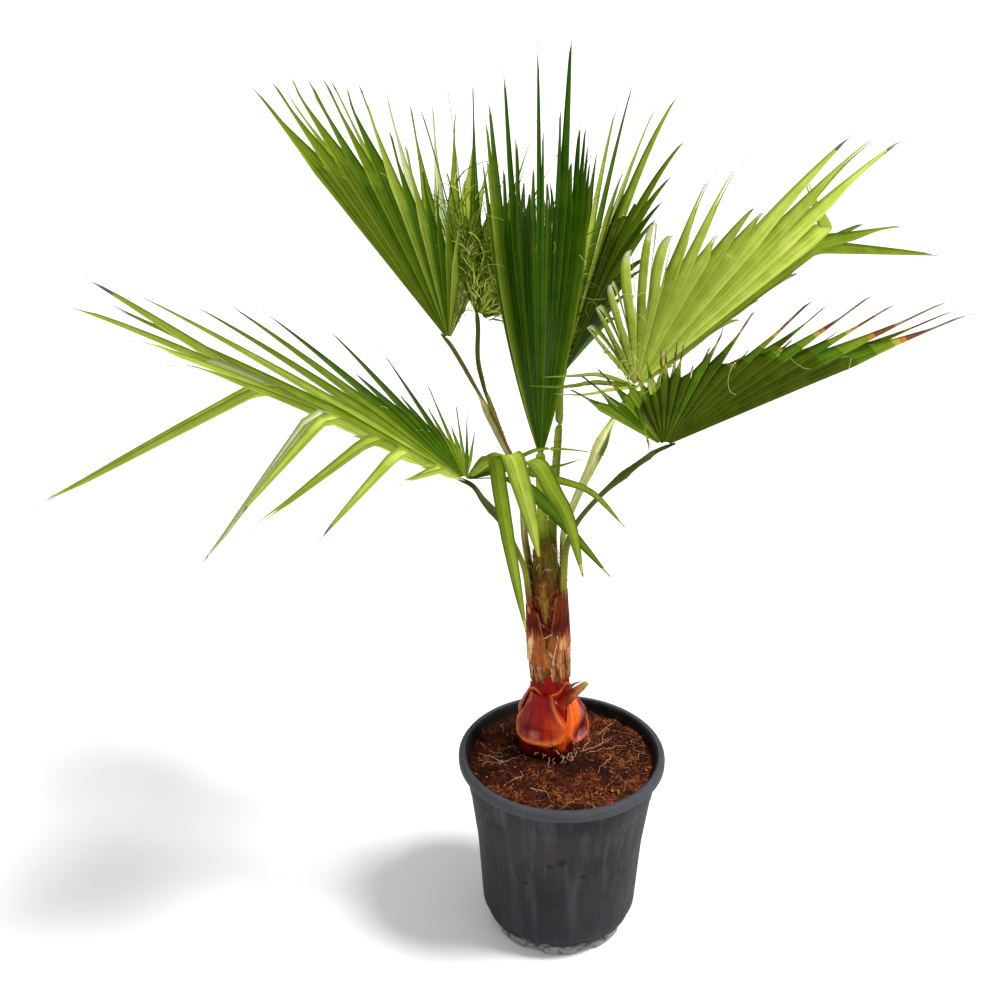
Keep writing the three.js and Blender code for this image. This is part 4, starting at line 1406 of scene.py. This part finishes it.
def fibres_shape():
    """Loose fibres over the trunk, pale hairs among the petioles at its top and roots at its foot."""
    shape = Shape()
    for i in range(FIBRES["loose"]):
        azimuth = share_of(71, i) * 360
        low = 112 + 200 * share_of(72, i)
        slant = scatter(73, i) * 70
        length = 16 + 40 * share_of(74, i)
        line = []
        for k in range(9):
            s = k / 8
            off = 1.8 + 2.4 * math.sin(math.pi * s) * share_of(75, i) + 4 * max(0, scatter(76, i)) * s * s
            line.append(trunk_point(min(low + length * s, 352), azimuth + slant * s, off))
        shape.tube(line, 0.45, 0.2, "fibre" if i % 3 else "fibre_tan")
    band = [trunk_point(205 + 34 * s, -128 + 104 * s, 3.4) for s in np.linspace(0, 1, 16)]
    shape.tube(band, 0.8, 2.0, "fibre_tan", sides=6)
    for i in range(FIBRES["hairs"]):
        azimuth = 180 + share_of(81, i) * 200
        foot = trunk_point(288 + 64 * share_of(82, i), azimuth, 3)
        heading = unit(direction(azimuth + 60 * scatter(83, i), 20 + 50 * scatter(84, i)))
        line = curly_line(foot, heading, 8 + 18 * share_of(85, i), 300 + i, 0.5, 0.05, 10)
        shape.tube(line, 0.4, 0.12, "hair" if i % 8 == 0 else "fibre")
    for i in range(FIBRES["roots"]):
        azimuth = 290 + 46 * scatter(91, i)
        foot = trunk_point(4 + 34 * share_of(92, i), azimuth, 8)
        heading = direction(azimuth + 70 * scatter(93, i), -10 + 30 * scatter(95, i))
        line = curly_line(foot, heading, 22 + 26 * share_of(94, i), 400 + i, 0.7, 0.6, 14)
        shape.tube(line, 0.8, 0.3, "root", sides=4)
    return shape


def curly_line(start, heading, length, seed, turn, weight, count):
    """A thin thread that curls at random and falls a little more with each step."""
    point = np.array(start, float)
    heading = np.array(heading, float)
    points = [point.copy()]
    swing = unit(np.array([scatter(seed, n) for n in (1, 2, 3)]) + 1e-3)
    for k in range(count - 1):
        turned = np.cross(swing, heading) * turn * (0.6 + 0.8 * share_of(seed, k + 9))
        heading = unit(heading + turned - UP * weight / count * 2)
        swing = unit(swing + 0.5 * np.array([scatter(seed, k + n) for n in (20, 40, 60)]))
        point = point + heading * length / count
        points.append(point.copy())
    return np.array(points)


# Fronds


def blade_frame(frond):
    keel = direction(*frond["keel"])
    level = unit(UP - keel * keel[2])
    flank = np.cross(keel, level)
    roll = math.radians(frond["roll"])
    normal = level * math.cos(roll) + flank * math.sin(roll)
    return keel, normal, np.cross(keel, normal)


def rib_direction(frond, t):
    keel, normal, side = blade_frame(frond)
    half = 0 if t < 0 else 1
    angle = math.radians(frond["span"][half] * abs(t))
    fold = math.radians(frond["fold"][half])
    out = side * np.sign(t) * math.cos(fold) + normal * math.sin(fold)
    return keel * math.cos(angle) + out * math.sin(angle)


def rib_line(frond, t, length, sag_scale, bend=None):
    """From the meeting point to the end of a leaflet or of the fold between two leaflets."""
    keel = direction(*frond["keel"])
    heading = rib_direction(frond, t)
    sag = frond["sag"][0 if t < 0 else 1] * sag_scale
    point = np.array(frond["meets"], float)
    points = [point]
    steps = BLADE["steps"]
    for k in range(steps):
        share = (k + 0.5) / steps
        if bend and share >= bend[0]:
            turned = smooth_step(share, bend[0], bend[0] + 0.05)
            heading = unit(heading * (1 - turned) + direction(bend[1], bend[2]) * turned + 1e-6)
            point = point + heading * length / steps * bend[3]
        else:
            heading = heading - UP * sag * max(0.0, share - BLADE["sag_from"]) * BLADE["sag_rate"] / steps
            heading = unit(heading + keel * frond.get("gather", 0) / steps)
            point = point + heading * length / steps
        points.append(point)
    return np.array(points)


def reach_at(frond, t):
    return float(spread(frond["reach"], (t + 1) / 2))


def blade_normal(frond, t):
    delta = 1.5 / frond["leaflets"]
    before = rib_direction(frond, max(-1, t - delta))
    after = rib_direction(frond, min(1, t + delta))
    return -unit(np.cross(before, after))


def leaflet_line(frond, i):
    """A leaflet's place across its blade, -1 to 1, its middle line and its length."""
    t = (i + 0.5) / frond["leaflets"] * 2 - 1
    left = frond.get("broken", {}).get(i, 1)
    length = left * (reach_at(frond, t) * (1 + BLADE["length_scatter"] * scatter(frond["seed"], i)))
    sag_scale = 1 + BLADE["sag_scatter"] * scatter(frond["seed"] + 5, i)
    return t, rib_line(frond, t, length, sag_scale, frond.get("bent", {}).get(i)), length


def is_blunt(frond, i):
    return i in frond.get("blunt", ())


def is_finger(frond, i):
    """Whether a leaflet, or a fold between two, is among the narrow pale ones at a blade's foot."""
    return i >= frond.get("fingers", frond["leaflets"] + 1)


# Paints past the share of a scorched leaflet where its end turns yellow
SCORCH = [
    (0.24, "tip_grey"),
    (0.1, "tip_brown"),
    (0.05, "tip_orange"),
    (0, "tip_yellow"),
    (-0.16, "leaf_mid"),
    (-0.34, "leaf_dark"),
]


def end_paint(frond, i, share, body):
    """Paint at a share of a leaflet's free length: its own green, then orange, brown and grey at its end."""
    seed = frond["seed"]
    if is_blunt(frond, i):
        return "tip_brown" if share > 0.95 else body
    if is_finger(frond, i):
        return "leaf_pale" if share > 0.8 else body
    if share_of(seed + 40, i) < frond.get("scorched", 0):
        start = 0.34 + 0.3 * share_of(seed + 41, i)
        for past, paint in SCORCH:
            if share > start + past:
                return paint
        return body
    if share > 0.86 + 0.1 * share_of(seed + 42, i):
        return "tip_grey"
    return body


def blade_shape(frond):
    """Pleated leaflets, joined out to their folds, then free, folded and some split in two at the tip."""
    shape = Shape()
    count = frond["leaflets"]
    seed = frond["seed"]
    folds = []
    for j in range(count + 1):
        t = j / count * 2 - 1
        joined = frond["joined"][0 if t < 0 else 1] * (1 + BLADE["joined_scatter"] * scatter(seed + 9, j))
        if is_finger(frond, j - 1):
            joined, spread_of_it = BLADE["finger_joined"]
            joined += spread_of_it * scatter(seed + 9, j)
        folds.append((rib_line(frond, t, reach_at(frond, t), 1), reach_at(frond, t), joined))
    ends = []
    for i in range(count):
        t, line, length = leaflet_line(frond, i)
        half = 0 if t < 0 else 1
        edge = "edges" in frond and abs(t) > frond.get("edge_from", BLADE["edge_from"])
        dealt = DEALT[frond["edges" if edge else "halves"][half]]
        leaflet = {
            "i": i,
            "line": line,
            "length": length,
            "reach": reach_at(frond, t),
            "normal": blade_normal(frond, t),
            "twist": math.radians(BLADE["twist"]) * scatter(seed + 12, i),
            "split": split_start(frond, i),
            "taper": frond["taper"][half],
            "paint": dealt[int(share_of(seed + 30, i) * 0.999 * len(dealt))],
        }
        for flank, sign in ((0, -1), (1, 1)):
            half_leaflet(shape, frond, leaflet, folds[i + flank], sign)
        ends.append((line[-1], unit(line[-1] - line[-3])))
    return shape, folds, ends


def split_start(frond, i):
    """Share of its free length from which a leaflet is split in two, or 2 for none."""
    if is_finger(frond, i):
        return 0
    if share_of(frond["seed"] + 14, i) < frond.get("torn", BLADE["torn"]):
        return frond.get("torn_from", BLADE["split_from"]) + 0.1 * scatter(frond["seed"] + 13, i)
    return 2


def free_width(frond, leaflet, f, half_width):
    """Share of its first width that a free leaflet has at a share of its free length."""
    if is_blunt(frond, leaflet["i"]):
        return 1 - 0.2 * f
    if is_finger(frond, leaflet["i"]):
        return (1 + 0.5 * f) * max(1 - f**3, 0.0) ** 0.6
    if "bent_widen" in frond and leaflet["i"] in frond["bent"]:
        return (1 + frond["bent_widen"] * smooth_step(f, 0, 0.3)) * max(1 - f, 0.0) ** 0.6
    slim = frond.get("slim", BLADE["slim"]) / half_width
    return max(max(1 - f, 0.0) ** leaflet["taper"], slim) * min(1.0, (1 - f) / 0.1)


def half_leaflet(shape, frond, leaflet, fold, sign):
    """One flank of a leaflet: from its rib to the fold, then from its rib to its own free edge."""
    fold_line, fold_reach, joined = fold
    line, length, normal = leaflet["line"], leaflet["length"], leaflet["normal"]
    joined_own = min(joined * leaflet["reach"] / length, 0.93)
    joined = joined_own * length / leaflet["reach"]
    rows = []
    shares = []
    for u in np.linspace(BLADE["hub"] / fold_reach, joined, BLADE["joined_rows"]):
        middle = point_on(line, u * leaflet["reach"] / length)
        edge = point_on(fold_line, u)
        pleat = BLADE["pleat"] * np.linalg.norm(edge - middle)
        middle = middle - normal * pleat
        edge = edge + normal * pleat
        bulge = (edge - middle) * 0.5 + middle + normal * pleat * 0.12
        rows.append((middle, bulge, edge))
        shares.append(0.0)
    finger = leaflet["split"] == 0
    free = np.linspace(0, 1, BLADE["free_rows"])[1:]
    places = joined_own + (1 - joined_own) * free
    path = np.array([point_on(line, joined_own), *[point_on(line, s) for s in places]])
    lowered = rows[-1][0] - path[0]
    arm = rows[-1][2] - rows[-1][0]
    tangents, sides, normals = carried_frames(path, unit(arm - tangent_part(arm, path)))
    lean_in, across, up = arm @ tangents[0], arm @ sides[0], arm @ normals[0]
    upward = 1 if normals[0] @ normal > 0 else -1
    for k, f in enumerate(free, start=1):
        width = free_width(frond, leaflet, f, np.linalg.norm(arm))
        turn = leaflet["twist"] * f
        side = sides[k] * math.cos(turn) + normals[k] * math.sin(turn)
        lift = normals[k] * math.cos(turn) - sides[k] * math.sin(turn)
        closing = 0 if finger else BLADE["closes"] * f
        edge_arm = side * across * (1 - 0.45 * closing) + lift * (up + upward * across * closing)
        edge_arm = (edge_arm + tangents[k] * lean_in * (1 - f)) * width
        inner = path[k] + lowered * (1 - f)
        edge = inner + edge_arm
        if f > leaflet["split"]:
            parted = (f - leaflet["split"]) / (1 - leaflet["split"])
            apart = side * np.sign(across) * parted**1.4 * BLADE["split_apart"] * (not finger)
            inner = inner + edge_arm * min(parted, 0.2 if finger else 0.6) + apart
            edge = edge + apart
        bulge = (inner + edge) / 2 + lift * upward * np.linalg.norm(edge - inner) * 0.05
        rows.append((inner, bulge, edge))
        shares.append(f)
    rows = np.array(rows)
    if sign < 0:
        rows = rows[:, ::-1]

    def paint(r, c):
        return end_paint(frond, leaflet["i"], (shares[r] + shares[r + 1]) / 2, leaflet["paint"])

    shape.grid(rows, paint, strip_places(len(rows), sign))


def tangent_part(arm, path):
    tangent = unit(path[1] - path[0])
    return tangent * (arm @ tangent)


def ribbon(shape, line, widths, paint, fold, side):
    """A free leaflet along a line, folded along its middle, with the given side all along."""
    tangents = tangents_of(line)
    sides = side - tangents * (tangents @ side)[:, None]
    sides /= np.linalg.norm(sides, axis=1)[:, None]
    normals = np.cross(tangents, sides)
    widths = spread(widths, np.linspace(0, 1, len(line)))[:, None]
    upward = np.where(normals[:, 2:] > 0, 1, -1)
    for sign in (-1, 1):
        edge = line + sides * widths / 2 * sign * (1 - fold * 0.3) + normals * upward * widths / 2 * fold
        middle = (line + edge) / 2
        rows = np.stack([line, middle, edge] if sign > 0 else [edge, middle, line], 1)
        shape.grid(rows, paint, strip_places(len(line), sign))


def strip_places(rows, sign):
    """Places on a leaflet's flank: 0 at its rib, 1 at the edge on its one side and -1 on its other."""
    across = (0, 0.5, 1) if sign > 0 else (-1, -0.5, 0)
    return [(x, r * 0.05) for r in range(rows) for x in across]


def skirt_shape():
    """The hanging basal leaflets: wide from the fold at their top, slender and scorched at their tips."""
    shape = Shape()
    brown_from = SKIRT["rows"] - 1 - SKIRT["brown_rows"]
    yellow_from = brown_from - SKIRT["yellow_rows"]
    for width, through, body in SKIRT["leaflets"]:
        line = curve_through([SKIRT["start"], *through], SKIRT["rows"])

        def paint(r, c, body=body):
            return "tip_brown" if r >= brown_from else ("tip_yellow" if r >= yellow_from else body)

        ribbon(shape, line, [width * s for s in SKIRT["shares"]], paint, SKIRT["fold"], direction(0))
    return shape


def reaching_shape():
    shape = Shape()
    for width, through, body in REACHING:
        line = curve_through(through, 26)
        ribbon(shape, line, [width * s for s in REACHING_SHARES], body, 0.3, UP)
    return shape


# Petioles

# Colours of each limb: its upper side, its margins and underside, and its flank towards +X, which is painted
# shade
LIMB_TONES = {
    "upper_left": ((178, 172, 112), (116, 108, 44), (120, 84, 44)),
    "centre": ((140, 154, 46), (94, 112, 18), (110, 130, 28)),
    "back_left": ((112, 124, 34), (74, 88, 18), (90, 104, 24)),
    "back_right": ((122, 136, 40), (82, 98, 20), (90, 104, 24)),
    "right": ((196, 200, 112), (160, 168, 60), (66, 90, 10)),
    "low_right": ((112, 116, 40), (72, 80, 14), (60, 66, 14)),
    "low_left": ((98, 104, 30), (62, 70, 12), (60, 66, 12)),
}

# The near white of the right limb's groove: partly the groove's own pale colour, partly a painted highlight
LIMB_GROOVE = (226, 222, 176)
LIMB_FOOT = (122, 122, 30)
LIMB_BASE = (122, 120, 26)
LIMB_MARGIN = (150, 118, 58)

# Heights above the soil between which a leaf base turns from the trunk's brown to its own green
GREENS_AT = (278, 306)


def limb_tint(name, x, y, right, height, seed):
    """Colour of a limb at a place round it, with the trunk's colours at its foot."""
    upper, under, flank = LIMB_TONES[name]
    colour = layered(
        tone(*under),
        (upper, smooth_step(y, -0.2, 0.6)),
        # Painted shade: the flank towards +X takes the flank tone
        (flank, smooth_step(right, 0.45, 0.8)),
    )
    # A near white stripe along the groove, partly its own pale colour and partly a painted highlight
    if FRONDS[name].get("pale_groove") and y > 0:
        colour = layered(colour, (LIMB_GROOVE, 1 - smooth_step(abs(x + 0.1), 0.12, 0.3)))
    colour = blend(tone(*LIMB_FOOT), colour, smooth_step(height, 310, 400))
    ragged = 16 * rough((x * 20, height * 0.3, seed), 9, 2)
    return blend(tone_at(TRUNK_TONES, height), colour, smooth_step(height + ragged, *GREENS_AT))


def petiole_line(frond):
    keel, normal, _ = blade_frame(frond)
    azimuth, height = frond["foot"]
    meets = np.array(frond["meets"], float) - normal * PETIOLE["drop"]
    points = [
        trunk_point(height - PETIOLE["foot_length"], azimuth, -PETIOLE["foot_depth"] / 3),
        trunk_point(height + PETIOLE["foot_length"] / 2, azimuth, PETIOLE["foot_depth"] / 2),
        *frond["through"],
        meets - keel * BLADE["hub"],
        meets + keel * PETIOLE["past_hub"],
    ]
    return curve_through(points, PETIOLE["steps"] + 1)


def petiole_shape(name, frond):
    """A tapering limb with a shallow groove along its upper side, toothed margins and a wrapping base."""
    shape = Shape()
    line = petiole_line(frond)
    seed = frond["seed"]
    _, _, blade_side = blade_frame(frond)
    around = direction(frond["foot"][0] + 90)
    tangents = tangents_of(line)
    rows, tints, margins = [], [], []
    sides = PETIOLE["sides"]
    for k, point in enumerate(line):
        share = k / PETIOLE["steps"]
        across = around + (blade_side - around) * share * share
        across = unit(across - tangents[k] * (across @ tangents[k]))
        up = np.cross(tangents[k], across)
        broad = 1 + (frond.get("stalk", 1) - 1) * smooth_step(share, 0.2, 0.7)
        last = 1 - 0.5 * smooth_step(share, 0.96, 1)
        width = spread(PETIOLE["width"], share) * broad * last
        thick = spread(PETIOLE["thick"], share) * last
        rows.append([])
        tints.append([])
        for m in range(sides):
            angle = 2 * math.pi * m / sides
            x, y = math.cos(angle), math.sin(angle)
            if y > 0:
                y = y * 0.55 - PETIOLE["groove"] * y * (1 - abs(x)) ** 0.8
            lump = 1 + 0.03 * rough((m * 7, share * 90, seed), 12)
            offset = across * x * width / 2 * lump + up * y * thick / 2 * lump
            rows[-1].append(point + offset)
            height = point[2] - SOIL["level"]
            tints[-1].append(limb_tint(name, x, math.sin(angle), unit(offset)[0], height, seed))
        margins.append((point + across * width / 2, point - across * width / 2, across))
    shape.grid(rows, "skin_limb", closed=True, tints=tints)
    shape.cap(rows[-1], "skin_limb", tint=tints[-1][0])
    length = np.linalg.norm(np.diff(line, axis=0), axis=1).sum()
    teeth = int(length * 0.7 / PETIOLE["tooth_every"])
    first_tooth, last_tooth = PETIOLE["toothed"]
    for n in range(teeth):
        for flank in (0, 1):
            share = (n + 0.3 * scatter(seed + 60 + flank, n)) / teeth
            place = (first_tooth + (last_tooth - first_tooth) * share) * PETIOLE["steps"]
            k = int(np.clip(place, 1, PETIOLE["steps"] - 1))
            size = PETIOLE["tooth"] * (0.6 + 0.5 * share_of(seed + 70 + flank, n))
            tooth(shape, margins[k][flank], margins[k][2] * (1 - 2 * flank), tangents[k], size)
    wrapping_base(shape, frond)
    return shape


def wrapping_base(shape, frond):
    """The base of a leaf that clasps the trunk: wide and red-brown below, olive green where it narrows."""
    azimuth, foot = frond["foot"]
    seed = frond["seed"]
    newer = (foot - WRAP["oldest"]) / (WRAP["newest"] - WRAP["oldest"])

    def place(v, u):
        half = WRAP["half_turn"] * (1 - WRAP["narrows"] * v**0.8)
        turn = azimuth + half * u * (1 + 0.05 * rough((v * 50, u, seed), 12))
        level = foot - WRAP["below"] + (WRAP["below"] + WRAP["above"]) * v
        level = min(level - 12 * abs(u) * v, TRUNK["height"])
        off = 3.2 - 2.4 * newer + 2.5 * v
        body = WRAP["margin"] + WRAP["thick"] * (1 - u * u) * (0.25 + 0.75 * v)
        fibres = 0.5 * rough((u * 50, v * 14, seed * 3), 5)
        streak = rough((u * 60, v * 10, seed + 5), 6, 3)
        mottled = level + 14 * streak
        colour = layered(
            marked(tone_at(TRUNK_TONES, mottled), level, turn, streak),
            (LIMB_BASE, smooth_step(mottled, *GREENS_AT)),
            (LIMB_MARGIN, smooth_step(abs(u), 0.9, 1.0) * 0.5),
        )
        inner = trunk_point(level, turn, off - 1.5)
        outer = trunk_point(level, turn, off + body + fibres)
        return inner, outer, colour * (1 + 0.5 * streak)

    closed_skin(shape, WRAP["rows"], WRAP["columns"], "skin_dry", place)


def tooth(shape, foot, out, along, size):
    """A small hooked spine on a petiole's margin."""
    up = np.cross(out, along)
    tip = foot + out * size - along * size * 0.5
    reaches = (along * -0.45, up * 0.25, along * 0.55, up * -0.25)
    base = [foot + reach * size - out for reach in reaches]
    for a, b in zip(base, base[1:] + base[:1]):
        shape.face([a, b, tip], "tooth")


# Torn strands and threads


def tufts_shape():
    """Torn strands that stand and curl among the crowded blades."""
    shape = Shape()
    for number, (name, first, last, shares, count, length, paint) in enumerate(TUFTS):
        seed = 900 + number * 20
        lowest, highest = shares
        for i in range(count):
            leaf = first + int(share_of(seed, i) * (last - first + 0.999))
            _, line, _ = leaflet_line(FRONDS[name], leaf)
            share = lowest + (highest - lowest) * share_of(seed + 1, i)
            foot = point_on(line, share) + 7 * np.array([scatter(seed + k, i) for k in (2, 3, 4)])
            along = unit(point_on(line, share + 0.1) - point_on(line, share))
            heading = unit(along + 0.5 * np.array([scatter(seed + k, i) for k in (5, 6, 7)]))
            own_length = length * (0.5 + share_of(seed + 8, i))
            strand = curly_line(foot, heading, own_length, seed * 50 + i, 0.2, 0.2, 9)
            radius = 0.6 + 0.7 * share_of(seed + 9, i)
            shape.tube(strand, radius, radius * 0.4, paint)
    return shape


# Shares of the folds and of the whole leaflets' tips that have a thread
THREADED_FOLDS = 0.4
THREADED_TIPS = 0.6


def threads_shape(blades):
    """Pale threads that hang from the folds between leaflets and curl past the leaflets' ends."""
    shape = Shape()
    for name, (folds, ends) in blades.items():
        frond = FRONDS[name]
        seed = frond["seed"]
        for j, (line, _, joined) in enumerate(folds[1:-1], start=1):
            if share_of(seed + 80, j) > THREADED_FOLDS:
                continue
            start = point_on(line, joined)
            aside = direction(share_of(seed + 81, j) * 360)
            heading = unit(point_on(line, joined + 0.05) - start + 0.4 * aside)
            length = 24 + 60 * share_of(seed + 82, j)
            thread = curly_line(start, heading, length, seed * 100 + j, 0.3, 0.5, 16)
            shape.tube(thread, 0.4, 0.2, "thread")
        for i, (end, heading) in enumerate(ends):
            whole = i not in frond.get("broken", {}) and not is_finger(frond, i)
            if not whole or share_of(seed + 90, i) > THREADED_TIPS:
                continue
            thread = curly_line(end, heading, 10 + 16 * share_of(seed + 91, i), seed * 200 + i, 0.15, 0.4, 8)
            shape.tube(thread, 0.5, 0.2, "tip_grey")
    return shape


# Stage


FLOOR_HALF = 60
SKY_STRENGTH = 0.72
SUN = {"energy": 3.6, "angle": 16, "azimuth": -12, "elevation": 58}
CAMERA = {"place": (-0.095, -1.740, 1.537), "tilts_down": 24.7, "lens": 48.8, "sensor": 36}


def build_stage():
    """A pale floor, an even white sky and a soft sun from the right."""
    scene = bpy.context.scene
    mesh = bpy.data.meshes.new("floor")
    corners = [(x * FLOOR_HALF, y * FLOOR_HALF, 0) for x, y in ((-1, -1), (1, -1), (1, 1), (-1, 1))]
    mesh.from_pydata(corners, [], [(0, 1, 2, 3)])
    floor = bpy.data.objects.new("floor", mesh)
    scene.collection.objects.link(floor)
    mesh.materials.append(PAINTS["pale_floor"])
    world = bpy.data.worlds.new("studio")
    world.use_nodes = True
    background = world.node_tree.nodes["Background"]
    background.inputs["Color"].default_value = (1.0, 1.0, 1.0, 1)
    background.inputs["Strength"].default_value = SKY_STRENGTH
    scene.world = world
    sun = bpy.data.lights.new("sun", "SUN")
    sun.energy = SUN["energy"]
    sun.angle = math.radians(SUN["angle"])
    lamp = bpy.data.objects.new("sun", sun)
    towards = Vector(direction(SUN["azimuth"], SUN["elevation"]))
    lamp.rotation_euler = towards.to_track_quat("Z", "Y").to_euler()
    scene.collection.objects.link(lamp)
    scene.view_settings.view_transform = "Standard"


def build_camera():
    """The camera that took the photo: place, tilt and field of view."""
    data = bpy.data.cameras.new("camera")
    data.lens = CAMERA["lens"]
    data.sensor_width = CAMERA["sensor"]
    camera = bpy.data.objects.new("camera", data)
    camera.location = CAMERA["place"]
    camera.rotation_euler = (math.radians(90 - CAMERA["tilts_down"]), 0, 0)
    bpy.context.scene.collection.objects.link(camera)
    bpy.context.scene.camera = camera


# The plant

PAINTS = all_paints()
build_stage()
build_camera()
pot_shape().make("pot_shell", "pot_plastic", ["pot"])
soil_shape().make("soil_bed", "potting_soil", ["soil"])
chips_shape().make("soil_chips", "potting_soil", smooth=False)
coir_shape().make("soil_coir", "potting_soil")
roots_shape().make("soil_roots", "potting_soil")
trunk_shape().make("trunk_relief", "trunk_fibre", ["trunk"])
fibres_shape().make("trunk_fibres", "trunk_fibre")
for number, (name, base) in enumerate(OLD_BASES.items(), start=1):
    old_base_shape(base, number).make(f"{name}_fleshy", "red_leaf_base", [name])
for number, (name, base) in enumerate(PAPERY_BASES.items(), start=1):
    papery_shape(base, number).make(f"{name}_torn", "papery_sheath", [name])
stub_shape().make("cut_stub_relief", "papery_sheath", ["cut_leaf_stub"])

blades = {}
for name, frond in FRONDS.items():
    blade, folds, ends = blade_shape(frond)
    blades[name] = (folds, ends)
    slot = "dark_blade" if name in ("centre", "low_right") else "bright_blade"
    blade.make(f"blade_{name}", slot, [f"frond_{name}"])
    petiole_shape(name, frond).make(f"limb_{name}", "petiole", [f"petiole_{name}"])
skirt_shape().make("blade_low_left_skirt", "bright_blade", ["frond_low_left_skirt"])
reaching_shape().make("blade_right_reaching", "bright_blade")
tufts_shape().make("torn_strands", "bright_blade")
threads_shape(blades).make("threads", "papery_sheath")

bpy.context.view_layer.update()
